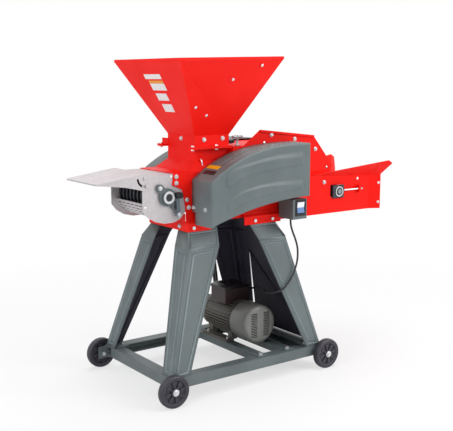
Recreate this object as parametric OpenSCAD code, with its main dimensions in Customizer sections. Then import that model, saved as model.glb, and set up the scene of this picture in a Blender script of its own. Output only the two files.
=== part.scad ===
/* [Base] */
// Length of the base frame along X
base_l = 744; // [700:1:800]
// Width of the base frame along Y
base_w = 524; // [500:1:560]
// Width of the base bars, seen from above
bar_w = 50; // [40:1:60]
// Height of the base bars
bar_h = 42; // [36:1:48]
// Wall of the pressed base bars
bar_t = 4; // [3:0.5:6]
// Clearance of the bars above the ground
bar_z = 57; // [55:1:60]
// Distance between the two motor rails, centre to centre
rail_pitch = 140; // [130:1:150]
// Width of each motor rail
rail_w = 44; // [38:1:50]
// Depth of the rails below the bar tops
rail_h = 30; // [24:1:36]

/* [Wheels] */
// Diameter of the wheels
wheel_d = 125; // [115:1:130]
// Tread width of the wheels
wheel_w = 30; // [26:1:34]
// Gap between a wheel and its bracket
wheel_gap = 1.5; // [1:0.5:3]
// Diameter of the axle bolts
axle_d = 12; // [10:1:14]
// Running clearance of a wheel on its axle, radial
run_gap = 0.08; // [0.05:0.01:0.1]

/* [Legs] */
// Height of the leg tops above the ground
leg_top_z = 622; // [610:1:640]
// Length of the short upper part of a leg
leg_upper_h = 58; // [50:1:70]
// X of a leg's outer corner at its top
leg_top_x = 217; // [212:1:222]
// Y of a leg's outer corner at its top
leg_top_y = 141; // [138:1:145]
// Outward run of a leg along X at the kink
kink_out_x = 23; // [18:1:28]
// Outward run of a leg along Y at the kink
kink_out_y = 39; // [34:1:44]
// Width of the broad leg flange at the kink
leg_broad_w = 141; // [130:1:150]
// Width of the broad leg flange at the foot
leg_foot_w = 78; // [70:1:90]
// Width of the narrow leg flange at the kink
leg_side_w = 101; // [90:1:110]
// Width of the narrow leg flange at its two ends
leg_side_end_w = 73; // [66:1:80]
// Sheet thickness of the legs
leg_t = 4; // [3:0.5:5]
// Sheet thickness of the side guard
guard_t = 2; // [1.5:0.5:2.5]
// Heights between which the side guard is cut back
guard_z = [130, 465];
// How far it is cut back at those heights
guard_cut = [36, 23];

/* [Motor] */
// Centre of the motor shaft, X
motor_x = 141; // [130:1:150]
// Height of the shaft above the motor feet
shaft_h = 90; // [88:1:94]
// Diameter of the fan cowl
cowl_d = 163; // [158:1:168]
// Length of the fan cowl
cowl_l = 112; // [100:1:116]
// Y of the cowl's outer face
cowl_y = -140; // [-145:1:-136]
// Length of the finned motor body
stator_l = 190; // [180:1:195]
// Diameter of the finned motor body over its fins
stator_d = 158; // [150:1:160]
// Length of the driving end bell
bell_l = 24; // [20:1:28]
// Diameter of the motor shaft
motor_shaft_d = 24; // [20:1:28]
// Foot hole spacing along the shaft
foot_l = 140; // [125:1:150]

/* [Drive] */
// Pitch radius of the motor pulley
motor_pulley_r = 42; // [38:1:46]
// Pitch radius of the rotor pulley
rotor_pulley_r = 84; // [78:1:88]
// Pitch radius of the small rotor groove that drives the outlet
outlet_drive_r = 46; // [42:1:50]
// Pitch radius of the outlet pulley
outlet_pulley_r = 41; // [38:1:46]
// Belt thickness
belt_t = 9; // [7:0.5:10]
// Width of one belt
belt_w = 12; // [10:0.5:13]
// Y of the middle of the two drive belts
belt_y = 226; // [224:1:228]
// Y of the middle of the outlet belt
outlet_belt_y = 190; // [186:1:192]
// Radius of the rotor sprocket
rotor_sprocket_r = 22; // [20:1:24]
// Radius of the lower roller sprocket
roller_sprocket_r = 34; // [32:1:36]
// Radius of the head roller sprocket
head_sprocket_r = 16; // [14:1:17]
// Chain thickness
chain_t = 7; // [5:0.5:8]

/* [Housing] */
// Half width of the housing over its side plates
house_y = 125; // [123:1:127]
// Thickness of the side plates
plate_t = 4; // [3:0.5:5]
// Sheet thickness of the red covers
sheet_t = 3; // [2:0.5:4]
// Height of the housing roof
roof_z = 849; // [845:1:860]
// Height of the joint between the side plates and the hood
hood_seam_z = 905; // [900:1:910]
// Height of the hood's flat top beside the neck
hood_flat_z = 941; // [938:1:945]
// Height of the hood's ridge
hood_top_z = 1002; // [990:1:1010]
// Height of the bed's top ledge
bed_z = 655; // [650:1:660]
// Far end of the bed along X
bed_x = 240; // [236:1:246]

/* [Rotor] */
// X of the rotor shaft
rotor_x = 20; // [16:1:22]
// Height of the rotor shaft
rotor_z = 800; // [797:1:802]
// Radius over the knife tips
rotor_r = 130; // [124:1:132]
// Radius of the rotor discs
disc_r = 92; // [88:1:94]
// Diameter of the rotor shaft
rotor_shaft_d = 40; // [36:1:42]
// Gap between the knife tips and the sieve
sieve_gap = 8; // [6:1:10]

/* [Feed] */
// X of the feed rollers
roller_x = 205; // [204:1:208]
// Height of the lower feed roller
lower_z = 785; // [784:1:786]
// Radius of the feed rollers
roller_r = 36; // [34:1:37]
// Distance between the feed rollers, centre to centre
roller_pitch = 86; // [84:1:88]
// How far the upper roller can lift
roller_lift = 25; // [15:1:26]
// X of the conveyor's head roller
head_x = 272; // [271:1:273]
// Height of the head roller
head_z = 775; // [774:1:777]
// X of the conveyor's tail roller
tail_x = 578; // [560:1:590]
// Height of the tail roller
tail_z = 719; // [715:1:722]
// Radius of the conveyor rollers
conveyor_r = 25; // [22:1:26]
// Thickness of the conveyor belt
web_t = 3; // [2:0.5:4]
// Travel of the take-up bearings
takeup_travel = 15; // [10:1:18]
// X of the trough's mouth
mouth_x = 820; // [810:1:840]
// How far the lips reach past the mouth
lip_past = 30; // [20:1:40]
// X where the trough's flared mouth starts
flare_x = 770; // [760:1:780]
// Bottom of the trough
trough_z = 626; // [622:1:630]
// Outward flare of the mouth
mouth_flare = 25; // [20:1:30]
// Outward reach of the top lips at the mouth
lip_out = 65; // [55:1:70]

/* [Hopper] */
// X of the hopper's centre
hopper_x = -75; // [-76:1:-72]
// Side of the square hopper rim
rim_w = 482; // [460:1:500]
// Height of the hopper rim
rim_z = 1278; // [1240:1:1290]
// Rise of the rim from its left side to its right side
rim_rise = 13; // [0:1:20]
// Height of the rim's folded band
rim_h = 12; // [10:1:16]
// Length of the neck along X
neck_l = 163; // [160:1:166]
// Width of the neck along Y
neck_w = 194; // [190:1:198]
// Height of the neck's flange joint
neck_z = 941; // [938:1:945]
// Height where the funnel meets the neck
funnel_z = 987; // [980:1:995]
// Travel of the slide gate
gate_travel = 30; // [20:1:32]

/* [Covers] */
// X of the gear cover's left end
cover_x0 = -190; // [-192:1:-188]
// X of the gear cover's right end
cover_x1 = 299; // [297:1:302]
// Y of the cover's inner edge
cover_y0 = 127; // [126:0.5:129]
// Y of the cover's outer face
cover_y1 = 260; // [256:1:264]
// Top of the cover at its right end
cover_top_z = 950; // [946:1:954]
// Drop of the cover's top along its length
cover_top_drop = 127; // [120:1:132]
// Bottom of the cover at its right end
cover_low_z = 735; // [734:1:736]
// Drop of the cover's bottom along its length
cover_low_drop = 85; // [80:1:90]
// Sheet thickness of the covers
cover_t = 2.5; // [2:0.5:3]

/* [Outlet] */
// X of the outlet drum
drum_x = -303; // [-306:1:-299]
// Height of the outlet drum
drum_z = 763; // [760:1:764]
// Radius of the outlet drum
drum_r = 72; // [68:1:76]
// Sheet thickness of the outlet casing
casing_t = 3; // [2:0.5:3]
// X of the deflector hood's outer end
deflector_x = -600; // [-620:1:-580]
// X of the deflector's pivot
pivot_x = -397; // [-399:1:-394]
// Height of the deflector's pivot
pivot_z = 840; // [838:1:841]
// Radius of the deflector's clamp slot
slot_r = 30; // [28:1:32]
// Height of the lock lever's pivot
lever_z = 695; // [692:1:697]
// Length of the lock lever
lever_l = 76; // [70:1:80]

/* [Switch] */
// Width of the switch box
switch_w = 74; // [70:1:78]
// Height of the switch box
switch_h = 82; // [76:1:84]
// Bottom of the switch box
switch_z = 640; // [636:1:644]
// Y of the switch box's face
switch_y = -235; // [-240:1:-230]
// Diameter of the motor cable
cord_d = 8; // [7:0.5:9]

/* [Hidden] */

// The base's middle lies this far from the origin, which is under the middle of the whole machine
seat = [-(deflector_x + mouth_x + lip_past) / 2, 0, 0];
gap = 0.3;
bar_top = bar_z + bar_h;
rail_x = [motor_x - rail_pitch / 2, motor_x + rail_pitch / 2];
rail_top = bar_top + bar_t;
motor_z = rail_top + shaft_h;
bracket_t = 5;
wheel_y = base_w / 2 + bracket_t + wheel_gap + wheel_w / 2;
wheel_x = base_l / 2 + 9;
foot_x = base_l / 2 - 2;
foot_y = base_w / 2 - 1;
kink_x = leg_top_x + kink_out_x;
kink_y = leg_top_y + kink_out_y;
kink_z = leg_top_z - leg_upper_h;
tab_h = 28;
inner_y = house_y - plate_t;
upper_z = lower_z + roller_pitch;
chain_y = -152;
gear_y = -176;
cord_r = cord_d / 2;
neck_x0 = hopper_x - neck_l / 2;
neck_x1 = hopper_x + neck_l / 2;

// Route of the motor cable, from the switch box to the gland
cord_route = [
    [125, -196, 640], [125, -196, 622], [127, -198, 604], [134, -201, 580], [144, -205, 552],
    [152, -208, 522], [154, -210, 492], [150, -212, 464], [139, -216, 438], [124, -219, 412],
    [106, -222, 390], [87, -224, 372], [69, -225, 359], [54, -219, 349], [43, -203, 341],
    [39, -187, 335], [41, -170, 330], [48, -150, 325], [59, -128, 320], [73, -105, 315],
    [88, -83, 311], [103, -61, 308], [116, -40, 307], [124, -20, 307], [122, -2, 307],
    [109, 11, 308], [89, 15, 308]
];

// An outline in the XZ plane drawn out along Y from y0 to y1
module prism_y(points, y0, y1) {
    translate([0, y1, 0])
        rotate([90, 0, 0])
            linear_extrude(y1 - y0)
                polygon(points);
}

// A round bar along Y
module rod_y(x, z, r, y0, y1, fn = 48) {
    translate([x, y1, z])
        rotate([90, 0, 0])
            cylinder(h = y1 - y0, r = r, $fn = fn);
}

// A round bar along X
module rod_x(y, z, r, x0, x1, fn = 32) {
    translate([x0, y, z])
        rotate([0, 90, 0])
            cylinder(h = x1 - x0, r = r, $fn = fn);
}

// A box from its lowest to its highest corner
module box(low, high) {
    translate(low)
        cube(high - low);
}

// A domed bolt head with its shank, pointing along -Y from the plane y
module bolt_y(x, y, z, r, head_h, shank_l) {
    rod_y(x, z, r, y - head_h, y, 24);
    rod_y(x, z, r / 2, y, y + shank_l, 24);
}

function arc(cx, cz, r, a0, a1, n) =
    [for (i = [0:n]) let (a = a0 + (a1 - a0) * i / n) [cx + r * cos(a), cz + r * sin(a)]];

// Outline of a belt that runs round two circles, grown by off
function loop(c0, r0, c1, r1, off, n = 24) =
    let (d = norm(c1 - c0))
    let (dir = atan2(c1[1] - c0[1], c1[0] - c0[0]))
    let (b = acos((r0 - r1) / d))
    concat(
        arc(c0[0], c0[1], r0 + off, dir + b, dir + 360 - b, n),
        arc(c1[0], c1[1], r1 + off, dir - b, dir + b, n)
    );

module belt(c0, r0, c1, r1, inner, outer, y0, y1) {
    difference() {
        prism_y(loop(c0, r0, c1, r1, outer), y0, y1);
        prism_y(loop(c0, r0, c1, r1, inner), y0 - 1, y1 + 1);
    }
}

// BASE

module bar_x(sy) {
    y0 = sy > 0 ? base_w / 2 - bar_w : -base_w / 2;
    yc = sy > 0 ? y0 - 1 : y0 + bar_t;
    difference() {
        box([-base_l / 2, y0, bar_z], [base_l / 2, y0 + bar_w, bar_top]);
        box([-base_l / 2 - 1, yc, bar_z + bar_t],
            [base_l / 2 + 1, yc + bar_w - bar_t + 1, bar_top - bar_t]);
        for (x = rail_x)
            translate([x, y0 + bar_w / 2 - sy * 8, bar_top - bar_t - 1])
                cylinder(h = bar_t + 2, r = 5.1, $fn = 24);
        for (sx = [-1, 1])
            rod_y(sx * (wheel_x - 30), bar_z + bar_h / 2, 5.1, y0 - 1, y0 + bar_w + 1, 24);
    }
}

module bar_y(sx) {
    x0 = sx > 0 ? base_l / 2 - bar_w : -base_l / 2;
    xc = sx > 0 ? x0 - 1 : x0 + bar_t;
    y1 = base_w / 2 - bar_w;
    difference() {
        box([x0, -y1, bar_z], [x0 + bar_w, y1, bar_top]);
        box([xc, -y1 - 1, bar_z + bar_t], [xc + bar_w - bar_t + 1, y1 + 1, bar_top - bar_t]);
    }
}

module wheel_bracket(sx, sy) {
    y0 = sy > 0 ? base_w / 2 : -base_w / 2 - bracket_t;
    x0 = sx > 0 ? wheel_x - 50 : -wheel_x - 22;
    difference() {
        box([x0, y0, wheel_d / 2 - 20], [x0 + 72, y0 + bracket_t, bar_top - 6]);
        rod_y(sx * wheel_x, wheel_d / 2, axle_d / 2 + run_gap, y0 - 1, y0 + bracket_t + 1, 32);
        rod_y(sx * (wheel_x - 30), bar_z + bar_h / 2, 5.1, y0 - 1, y0 + bracket_t + 1, 24);
    }
}

module base_frame() {
    color("#5f6b6c") translate(seat)
        union() {
            for (s = [-1, 1]) {
                bar_x(s);
                bar_y(s);
                wheel_bracket(s, -1);
                wheel_bracket(s, 1);
            }
        }
}

module motor_rails() {
    run = base_w / 2 - bar_w;
    color("#566062") translate(seat)
        for (x = rail_x)
            difference() {
                union() {
                    box([x - rail_w / 2, -run - 36, bar_top], [x + rail_w / 2, run + 36, rail_top]);
                    box([x - rail_w / 2, -run + 0.2, rail_top - rail_h],
                        [x - rail_w / 2 + bar_t, run - 0.2, rail_top]);
                    box([x + rail_w / 2 - bar_t, -run + 0.2, rail_top - rail_h],
                        [x + rail_w / 2, run - 0.2, rail_top]);
                }
                for (sy = [-1, 1])
                    translate([x, sy * (base_w / 2 - bar_w / 2 - 8), bar_top - 1])
                        cylinder(h = bar_t + 2, r = 5.1, $fn = 24);
                for (y = foot_holes)
                    translate([x, y, bar_top - 1])
                        cylinder(h = bar_t + 2, r = 5.1, $fn = 24);
            }
}

// LEGS

// A flat slab between the leg's outer corner and one flange's inner edge, at one height
module slab_broad(x, y, z, w) {
    box([x - w, y - leg_t, z - 0.25], [x, y, z + 0.25]);
}

module slab_side(x, y, z, w) {
    box([x - leg_t, y - w, z - 0.25], [x, y, z + 0.25]);
}

module leg(sx, sy) {
    e = 0.25;
    foot_px = foot_x - 72;
    mirror([sx > 0 ? 0 : 1, 0, 0])
        mirror([0, sy > 0 ? 0 : 1, 0])
            difference() {
                union() {
                    hull() {
                        slab_broad(foot_x, foot_y, bar_top + e, leg_foot_w);
                        slab_broad(kink_x, kink_y, kink_z, leg_broad_w);
                    }
                    hull() {
                        slab_side(foot_x, foot_y, bar_top + e, leg_side_end_w);
                        slab_side(kink_x, kink_y, kink_z, leg_side_w);
                    }
                    hull() {
                        slab_broad(kink_x, kink_y, kink_z, leg_broad_w);
                        slab_broad(leg_top_x, leg_top_y, leg_top_z - e, leg_broad_w - 5);
                    }
                    hull() {
                        slab_side(kink_x, kink_y, kink_z, leg_side_w);
                        slab_side(leg_top_x, leg_top_y, leg_top_z - e, leg_side_end_w);
                    }
                    box([foot_px, foot_y - 70, bar_top], [foot_x - 2, foot_y - 2, bar_top + leg_t]);
                    box([leg_top_x - leg_broad_w + 15, leg_top_y - leg_t, leg_top_z],
                        [leg_top_x - leg_t, leg_top_y, leg_top_z + tab_h]);
                }
                for (x = leg_bolt_x)
                    rod_y(x, bed_bolt_z, 4.1, leg_top_y - leg_t - 1, leg_top_y + 1, 24);
                translate([foot_px + 14, foot_y - 36, bar_top - 1])
                    cylinder(h = leg_t + 2, r = 5.1, $fn = 24);
            }
}

module leg_near_left() {
    color("#5f6b6c") translate(seat)
        leg(-1, -1);
}

module leg_near_right() {
    color("#5f6b6c") translate(seat)
        leg(1, -1);
}

module leg_far_left() {
    color("#5f6b6c") translate(seat)
        leg(-1, 1);
}

module leg_far_right() {
    color("#5f6b6c") translate(seat)
        leg(1, 1);
}

// Flat sheet behind the flanges of the right pair of legs, bent at their kink and cut back along
// its far edge
module side_guard() {
    z0 = bar_top + leg_t + gap;
    z1 = leg_top_z - gap;
    near = [-foot_y + leg_side_end_w - 20, -kink_y + leg_side_w - 20, -leg_top_y + leg_side_end_w - 20];
    far = [foot_y - leg_side_end_w + 15, kink_y - leg_side_w + 15, leg_top_y - leg_side_end_w + 15];
    function run(z) = (z - bar_top) / (kink_z - bar_top);
    function at(v, z) = v[0] + (v[1] - v[0]) * run(z);
    function past(v, z) = v[1] + (v[2] - v[1]) * (z - kink_z) / (leg_top_z - kink_z);
    xs = [foot_x, kink_x, leg_top_x];
    outline = [
        [at(xs, z0), at(near, z0), z0], [at(xs, z0), at(far, z0), z0],
        [at(xs, guard_z[0]), at(far, guard_z[0]), guard_z[0]],
        [at(xs, guard_z[0]), at(far, guard_z[0]) - guard_cut[0], guard_z[0]],
        [at(xs, guard_z[1]), at(far, guard_z[1]) - guard_cut[1], guard_z[1]],
        [at(xs, guard_z[1]), at(far, guard_z[1]), guard_z[1]],
        [kink_x, far[1], kink_z], [past(xs, z1), past(far, z1), z1],
        [past(xs, z1), past(near, z1), z1], [kink_x, near[1], kink_z]
    ];
    color("#566062") translate(seat)
        polyhedron(
            points = [for (x = [leg_t + gap, leg_t + gap + guard_t], p = outline) p - [x, 0, 0]],
            faces = concat(
                [[9, 6, 5, 4, 3, 2, 1, 0], [8, 7, 6, 9], [10, 11, 12, 13, 14, 15, 16, 19], [19, 16, 17, 18]],
                [for (i = [0:9]) let (j = (i + 1) % 10) [i, j, j + 10, i + 10]]
            )
        );
}

leg_bolt_x = [leg_top_x - 112, leg_top_x - 22];
bed_bolt_z = leg_top_z + 15;
foot_holes = [-5, -5 + foot_l];

// WHEELS

module wheel(sx, sy) {
    y0 = sy * wheel_y - wheel_w / 2;
    union()
        difference() {
            union() {
                rod_y(sx * wheel_x, wheel_d / 2, 17, y0, y0 + wheel_w, 48);
                translate([sx * wheel_x, y0 + wheel_w, wheel_d / 2])
                    rotate([90, 0, 0])
                        rotate_extrude($fn = 96)
                            polygon([
                                [14, 8], [41, 8], [45, 2], [wheel_d / 2 - 6, 0],
                                [wheel_d / 2 - 1.5, 3], [wheel_d / 2, 9],
                                [wheel_d / 2, wheel_w - 9], [wheel_d / 2 - 1.5, wheel_w - 3],
                                [wheel_d / 2 - 6, wheel_w], [45, wheel_w - 2],
                                [41, wheel_w - 8], [14, wheel_w - 8]
                            ]);
                for (a = [0:45:315])
                    translate([sx * wheel_x, y0 + wheel_w - 3, wheel_d / 2])
                        rotate([90, a, 0])
                            rotate_extrude(angle = 20, $fn = 72)
                                translate([16, 0])
                                    square([26, wheel_w - 6]);
            }
            rod_y(sx * wheel_x, wheel_d / 2, axle_d / 2 + run_gap, y0 - 1, y0 + wheel_w + 1, 48);
        }
}

module wheel_near_left() {
    color("#1d1d1f") translate(seat)
        wheel(-1, -1);
}

module wheel_near_right() {
    color("#1d1d1f") translate(seat)
        wheel(1, -1);
}

module wheel_far_left() {
    color("#1d1d1f") translate(seat)
        wheel(-1, 1);
}

module wheel_far_right() {
    color("#1d1d1f") translate(seat)
        wheel(1, 1);
}

// Bolt through each wheel, its flanged head outside and its nut behind the bracket
module axle_bolts() {
    for (sx = [-1, 1], sy = [-1, 1]) {
        outer = wheel_y + wheel_w / 2;
        mirror([0, sy > 0 ? 0 : 1, 0]) {
            rod_y(sx * wheel_x, wheel_d / 2, axle_d / 2, base_w / 2 - 12, outer + 1, 32);
            rod_y(sx * wheel_x, wheel_d / 2, 13, outer + 0.4, outer + 3, 40);
            rod_y(sx * wheel_x, wheel_d / 2, 9, outer + 2.5, outer + 8, 6);
            difference() {
                rod_y(sx * wheel_x, wheel_d / 2, 8.6, base_w / 2 - 9, base_w / 2, 6);
                rod_y(sx * wheel_x, wheel_d / 2, axle_d / 2, base_w / 2 - 10, base_w / 2 + 1, 32);
            }
        }
    }
}

// Bolts of the frame: wheels to brackets, rails to bars, motor feet to rails, leg feet, leg tops
// and the neck's flange
module frame_bolts() {
    color("#c3c6c8") translate(seat) {
        axle_bolts();
        for (x = rail_x, sy = [-1, 1])
            translate([x, sy * (base_w / 2 - bar_w / 2 - 8), bar_top - bar_t]) {
                cylinder(h = 8, r = 4.9, $fn = 24);
                translate([0, 0, 2 * bar_t])
                    cylinder(h = 6, r = 8, $fn = 6);
            }
        for (x = rail_x, y = foot_holes)
            translate([x, y, bar_top]) {
                cylinder(h = bar_t + 12, r = 4.9, $fn = 24);
                translate([0, 0, bar_t + 12])
                    cylinder(h = 6, r = 8, $fn = 6);
            }
        for (sx = [-1, 1], sy = [-1, 1]) {
            translate([sx * (foot_x - 58), sy * (foot_y - 36), bar_top + 0.2]) {
                cylinder(h = leg_t, r = 4.9, $fn = 24);
                translate([0, 0, leg_t - 0.2])
                    cylinder(h = 6, r = 8, $fn = 6);
            }
            translate([flange_bolt_x[sx > 0 ? 1 : 0], sy * (neck_w / 2 + 17), neck_z - 10]) {
                cylinder(h = 5, r = 7, $fn = 6);
                cylinder(h = 15, r = 4, $fn = 24);
                translate([0, 0, 15])
                    cylinder(h = 5, r = 7, $fn = 6);
            }
            mirror([0, sy > 0 ? 0 : 1, 0])
                for (x = leg_bolt_x)
                    mirror([sx > 0 ? 0 : 1, 0, 0]) {
                        rod_y(x, bed_bolt_z, 4, leg_top_y - leg_t, leg_top_y + sheet_t, 24);
                        rod_y(x, bed_bolt_z, 7, leg_top_y + sheet_t, leg_top_y + sheet_t + 4, 24);
                    }
        }
    }
}

// MOTOR

stator_y0 = cowl_y + cowl_l;
stator_y1 = stator_y0 + stator_l;
bell_y1 = stator_y1 + bell_l;

module motor_body() {
    fin_n = 36;
    hub_r = stator_d / 2 - 10;
    color("#4b4a46") translate(seat)
        difference() {
            union() {
                rod_y(motor_x, motor_z, hub_r, stator_y0, stator_y1, 96);
                for (i = [0:fin_n - 1])
                    translate([motor_x, 0, motor_z])
                        rotate([0, 360 * (i + 0.5) / fin_n, 0])
                            box([hub_r - 2, stator_y0 + 6, -1.5], [stator_d / 2, stator_y1 - 6, 1.5]);
                for (s = [-1, 1]) {
                    box([motor_x + s * rail_pitch / 2 - 20, foot_holes[0] - 18, rail_top],
                        [motor_x + s * rail_pitch / 2 + 20, foot_holes[1] + 18, rail_top + 12]);
                    for (y = foot_holes)
                        box([motor_x + s * 44 - 14, y - 14, rail_top + 6],
                            [motor_x + s * 44 + 14, y + 14, rail_top + 42]);
                }
            }
            rod_y(motor_x, motor_z, hub_r - 9, stator_y0 - 1, stator_y1 + 1, 96);
            for (x = rail_x, y = foot_holes)
                translate([x, y, rail_top - 1])
                    cylinder(h = 14, r = 5.1, $fn = 24);
        }
}

// Driving end bell and rear bell, each with its bearing seat
module motor_end_bells() {
    color("#53524d") translate(seat)
        for (e = [[stator_y0 - 14, stator_y0, cowl_d / 2 - 2 - gap], [stator_y1, bell_y1, stator_d / 2 - 8]])
            difference() {
                rod_y(motor_x, motor_z, e[2], e[0], e[1], 96);
                rod_y(motor_x, motor_z, motor_shaft_d / 2 + run_gap, e[0] - 1, e[1] + 1, 48);
            }
}

module fan_cowl() {
    wall = 2;
    color("#6a6c66") translate(seat)
        difference() {
            translate([motor_x, cowl_y, motor_z])
                rotate([-90, 0, 0])
                    rotate_extrude($fn = 96)
                        polygon(concat(
                            [[0, 0], [cowl_d / 2 - 16, 0]],
                            arc(cowl_d / 2 - 16, 16, 16, -90, 0, 6),
                            [[cowl_d / 2, cowl_l - 8], [cowl_d / 2 - wall, cowl_l - 8],
                             [cowl_d / 2 - wall, 18]],
                            arc(cowl_d / 2 - 18, 18, 16, 0, -90, 6),
                            [[0, wall]]
                        ));
            for (i = [-7:7], s = [-1, 1])
                box([motor_x + s * 32 - 16, cowl_y - 1, motor_z + i * 7 - 1.8],
                    [motor_x + s * 32 + 16, cowl_y + wall + 1, motor_z + i * 7 + 1.8]);
        }
}

module motor_fan() {
    fan_y = cowl_y + 34;
    color("#2b2b2c") translate(seat)
        difference() {
            union() {
                rod_y(motor_x, motor_z, 22, fan_y, fan_y + 34, 48);
                rod_y(motor_x, motor_z, 66, fan_y + 28, fan_y + 31, 72);
                for (a = [0:45:315])
                    translate([motor_x, 0, motor_z])
                        rotate([0, a, 0])
                            box([18, fan_y, -1.5], [68, fan_y + 29, 1.5]);
            }
            rod_y(motor_x, motor_z, motor_shaft_d / 2 + 0.05, fan_y - 1, fan_y + 35, 48);
        }
}

module motor_shaft() {
    color("#a9acae") translate(seat) {
        rod_y(motor_x, motor_z, motor_shaft_d / 2, cowl_y + 30, belt_y + 18, 48);
        rod_y(motor_x, motor_z, stator_d / 2 - 22, stator_y0 + 30, stator_y1 - 30, 72);
    }
}

// A pulley with grooves at the given places along Y; r is where the belt's inner face runs
module pulley(x, z, r, bore, grooves, y0, y1) {
    difference() {
        rod_y(x, z, r + belt_t, y0, y1, 72);
        for (y = grooves)
            difference() {
                rod_y(x, z, r + belt_t + 1, y - belt_w / 2 - gap, y + belt_w / 2 + gap, 72);
                rod_y(x, z, r - gap, y - belt_w, y + belt_w, 72);
            }
        rod_y(x, z, bore + 0.05, y0 - 1, y1 + 1, 48);
    }
}

belt_lines = [belt_y - belt_w / 2 - 2, belt_y + belt_w / 2 + 2];

module motor_pulley() {
    color("#55585a") translate(seat)
        pulley(motor_x, motor_z, motor_pulley_r, motor_shaft_d / 2, belt_lines, belt_y - 18, belt_y + 18);
}

module rotor_pulley() {
    color("#55585a") translate(seat)
        union() {
            pulley(rotor_x, rotor_z, rotor_pulley_r, 17.5, belt_lines, belt_y - 18, belt_y + 18);
            pulley(rotor_x, rotor_z, outlet_drive_r, 17.5, [outlet_belt_y],
                   outlet_belt_y - 10, belt_y - 18);
        }
}

module outlet_pulley() {
    color("#55585a") translate(seat)
        pulley(drum_x, drum_z, outlet_pulley_r, 12.5, [outlet_belt_y],
               outlet_belt_y - 10, outlet_belt_y + 10);
}

module drive_belts() {
    color("#222222") translate(seat)
        for (y = belt_lines)
            belt([motor_x, motor_z], motor_pulley_r, [rotor_x, rotor_z], rotor_pulley_r,
                 0, belt_t, y - belt_w / 2, y + belt_w / 2);
}

module outlet_belt() {
    color("#222222") translate(seat)
        belt([drum_x, drum_z], outlet_pulley_r, [rotor_x, rotor_z], outlet_drive_r,
             0, belt_t, outlet_belt_y - belt_w / 2, outlet_belt_y + belt_w / 2);
}

box_x = [motor_x - 81, motor_x + 51];
box_y = [0, 108];
lid_z = 322;
gland_y = 15;
gland_z = 308;

module terminal_box() {
    color("#332c2b") translate(seat)
        difference() {
            box([box_x[0] + 4, box_y[0] + 3, motor_z + 70], [box_x[1], box_y[1] - 3, lid_z]);
            rod_y(motor_x, motor_z, stator_d / 2 + gap, -20, 130, 96);
            rod_x(gland_y, gland_z, 7, box_x[1] - 20, box_x[1] + 1, 32);
        }
}

module terminal_lid() {
    color("#26262a") translate(seat)
        prism_y([[box_x[0], lid_z], [box_x[1] + 3, lid_z], [box_x[1] + 3, lid_z + 8], [box_x[1] - 12, lid_z + 15],
                 [box_x[0] + 26, lid_z + 17], [box_x[0], lid_z + 10]], box_y[0], box_y[1]);
}

module cable_gland() {
    color("#2a2a2c") translate(seat)
        union() {
            rod_x(gland_y, gland_z, 6.9, box_x[1] - 18, box_x[1], 32);
            rod_x(gland_y, gland_z, 11, box_x[1], box_x[1] + 8, 6);
            translate([box_x[1] + 8, gland_y, gland_z])
                rotate([0, 90, 0])
                    cylinder(h = 14, r1 = 9, r2 = 5.5, $fn = 32);
        }
}

// The cable, swept along its route as one closed tube
module motor_cord() {
    sides = 10;
    n = len(cord_route);
    tangents = [for (i = [0:n - 1])
        let (a = cord_route[max(i - 1, 0)], b = cord_route[min(i + 1, n - 1)])
        i == 0 ? [0, 0, -1] : i == n - 1 ? [-1, 0, 0] : (b - a) / norm(b - a)];
    rings = [for (i = [0:n - 1])
        let (t = tangents[i], u0 = cross(t, [0.6, 0.2, 0.75]), u = u0 / norm(u0), v = cross(t, u))
        for (k = [0:sides - 1])
            cord_route[i] + cord_r * (cos(360 * k / sides) * u + sin(360 * k / sides) * v)];
    walls = [for (i = [0:n - 2], k = [0:sides - 1], h = [0, 1])
        let (p = i * sides + k, q = i * sides + (k + 1) % sides)
        h == 0 ? [p, q, q + sides] : [p, q + sides, p + sides]];
    color("#1b1b1d")
        polyhedron(
            points = concat(rings, [cord_route[0], cord_route[n - 1]]),
            faces = concat(
                walls,
                [for (k = [0:sides - 1]) [n * sides, (k + 1) % sides, k]],
                [for (k = [0:sides - 1])
                    [n * sides + 1, (n - 1) * sides + k, (n - 1) * sides + (k + 1) % sides]]
            )
        );
}

// HOUSING

boots = [[-leg_top_x - sheet_t, -110], [51, bed_x]];

module machine_bed() {
    x0 = -leg_top_x - sheet_t;
    skirt_y = leg_top_y + sheet_t;
    color("#e2231f") translate(seat)
        difference() {
            union() {
                box([x0, -house_y - 3, bed_z - sheet_t], [bed_x, house_y + 3, bed_z]);
                for (b = boots)
                    box([b[0], -skirt_y, bed_z - sheet_t], [b[1], skirt_y, bed_z]);
                for (b = boots, s = [-1, 1]) {
                    box([b[0], s > 0 ? leg_top_y : -skirt_y, leg_top_z],
                        [b[1], s > 0 ? skirt_y : -leg_top_y, bed_z]);
                    mirror([0, s > 0 ? 0 : 1, 0])
                        translate([b[0], 0, 0])
                            rotate([90, 0, 90])
                                linear_extrude(b[1] - b[0])
                                    polygon([
                                        [skirt_y, bed_z - 1], [skirt_y, bed_z],
                                        [skirt_y - 9, bed_z + 8], [house_y + 3, bed_z + 22],
                                        [house_y + gap, bed_z + 38], [house_y + gap, bed_z + 18],
                                        [skirt_y - 12, bed_z + 5], [skirt_y - 4, bed_z - 1]
                                    ]);
                }
                box([x0, -skirt_y, leg_top_z], [x0 + sheet_t, skirt_y, bed_z]);
                box([bed_x - sheet_t, -skirt_y, leg_top_z], [bed_x, skirt_y, bed_z]);
                box([x0, -inner_y + gap, bed_z - 1], [x0 + sheet_t, inner_y - gap, bed_z + 36]);
            }
            box([x0 + 26, -inner_y, bed_z - sheet_t - 1], [bed_x - 26, inner_y, bed_z + 1]);
            for (s = [-1, 1], x = leg_bolt_x)
                rod_y(s * x, bed_bolt_z, 4.1, -skirt_y - 1, skirt_y + 1, 24);
        }
}

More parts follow.
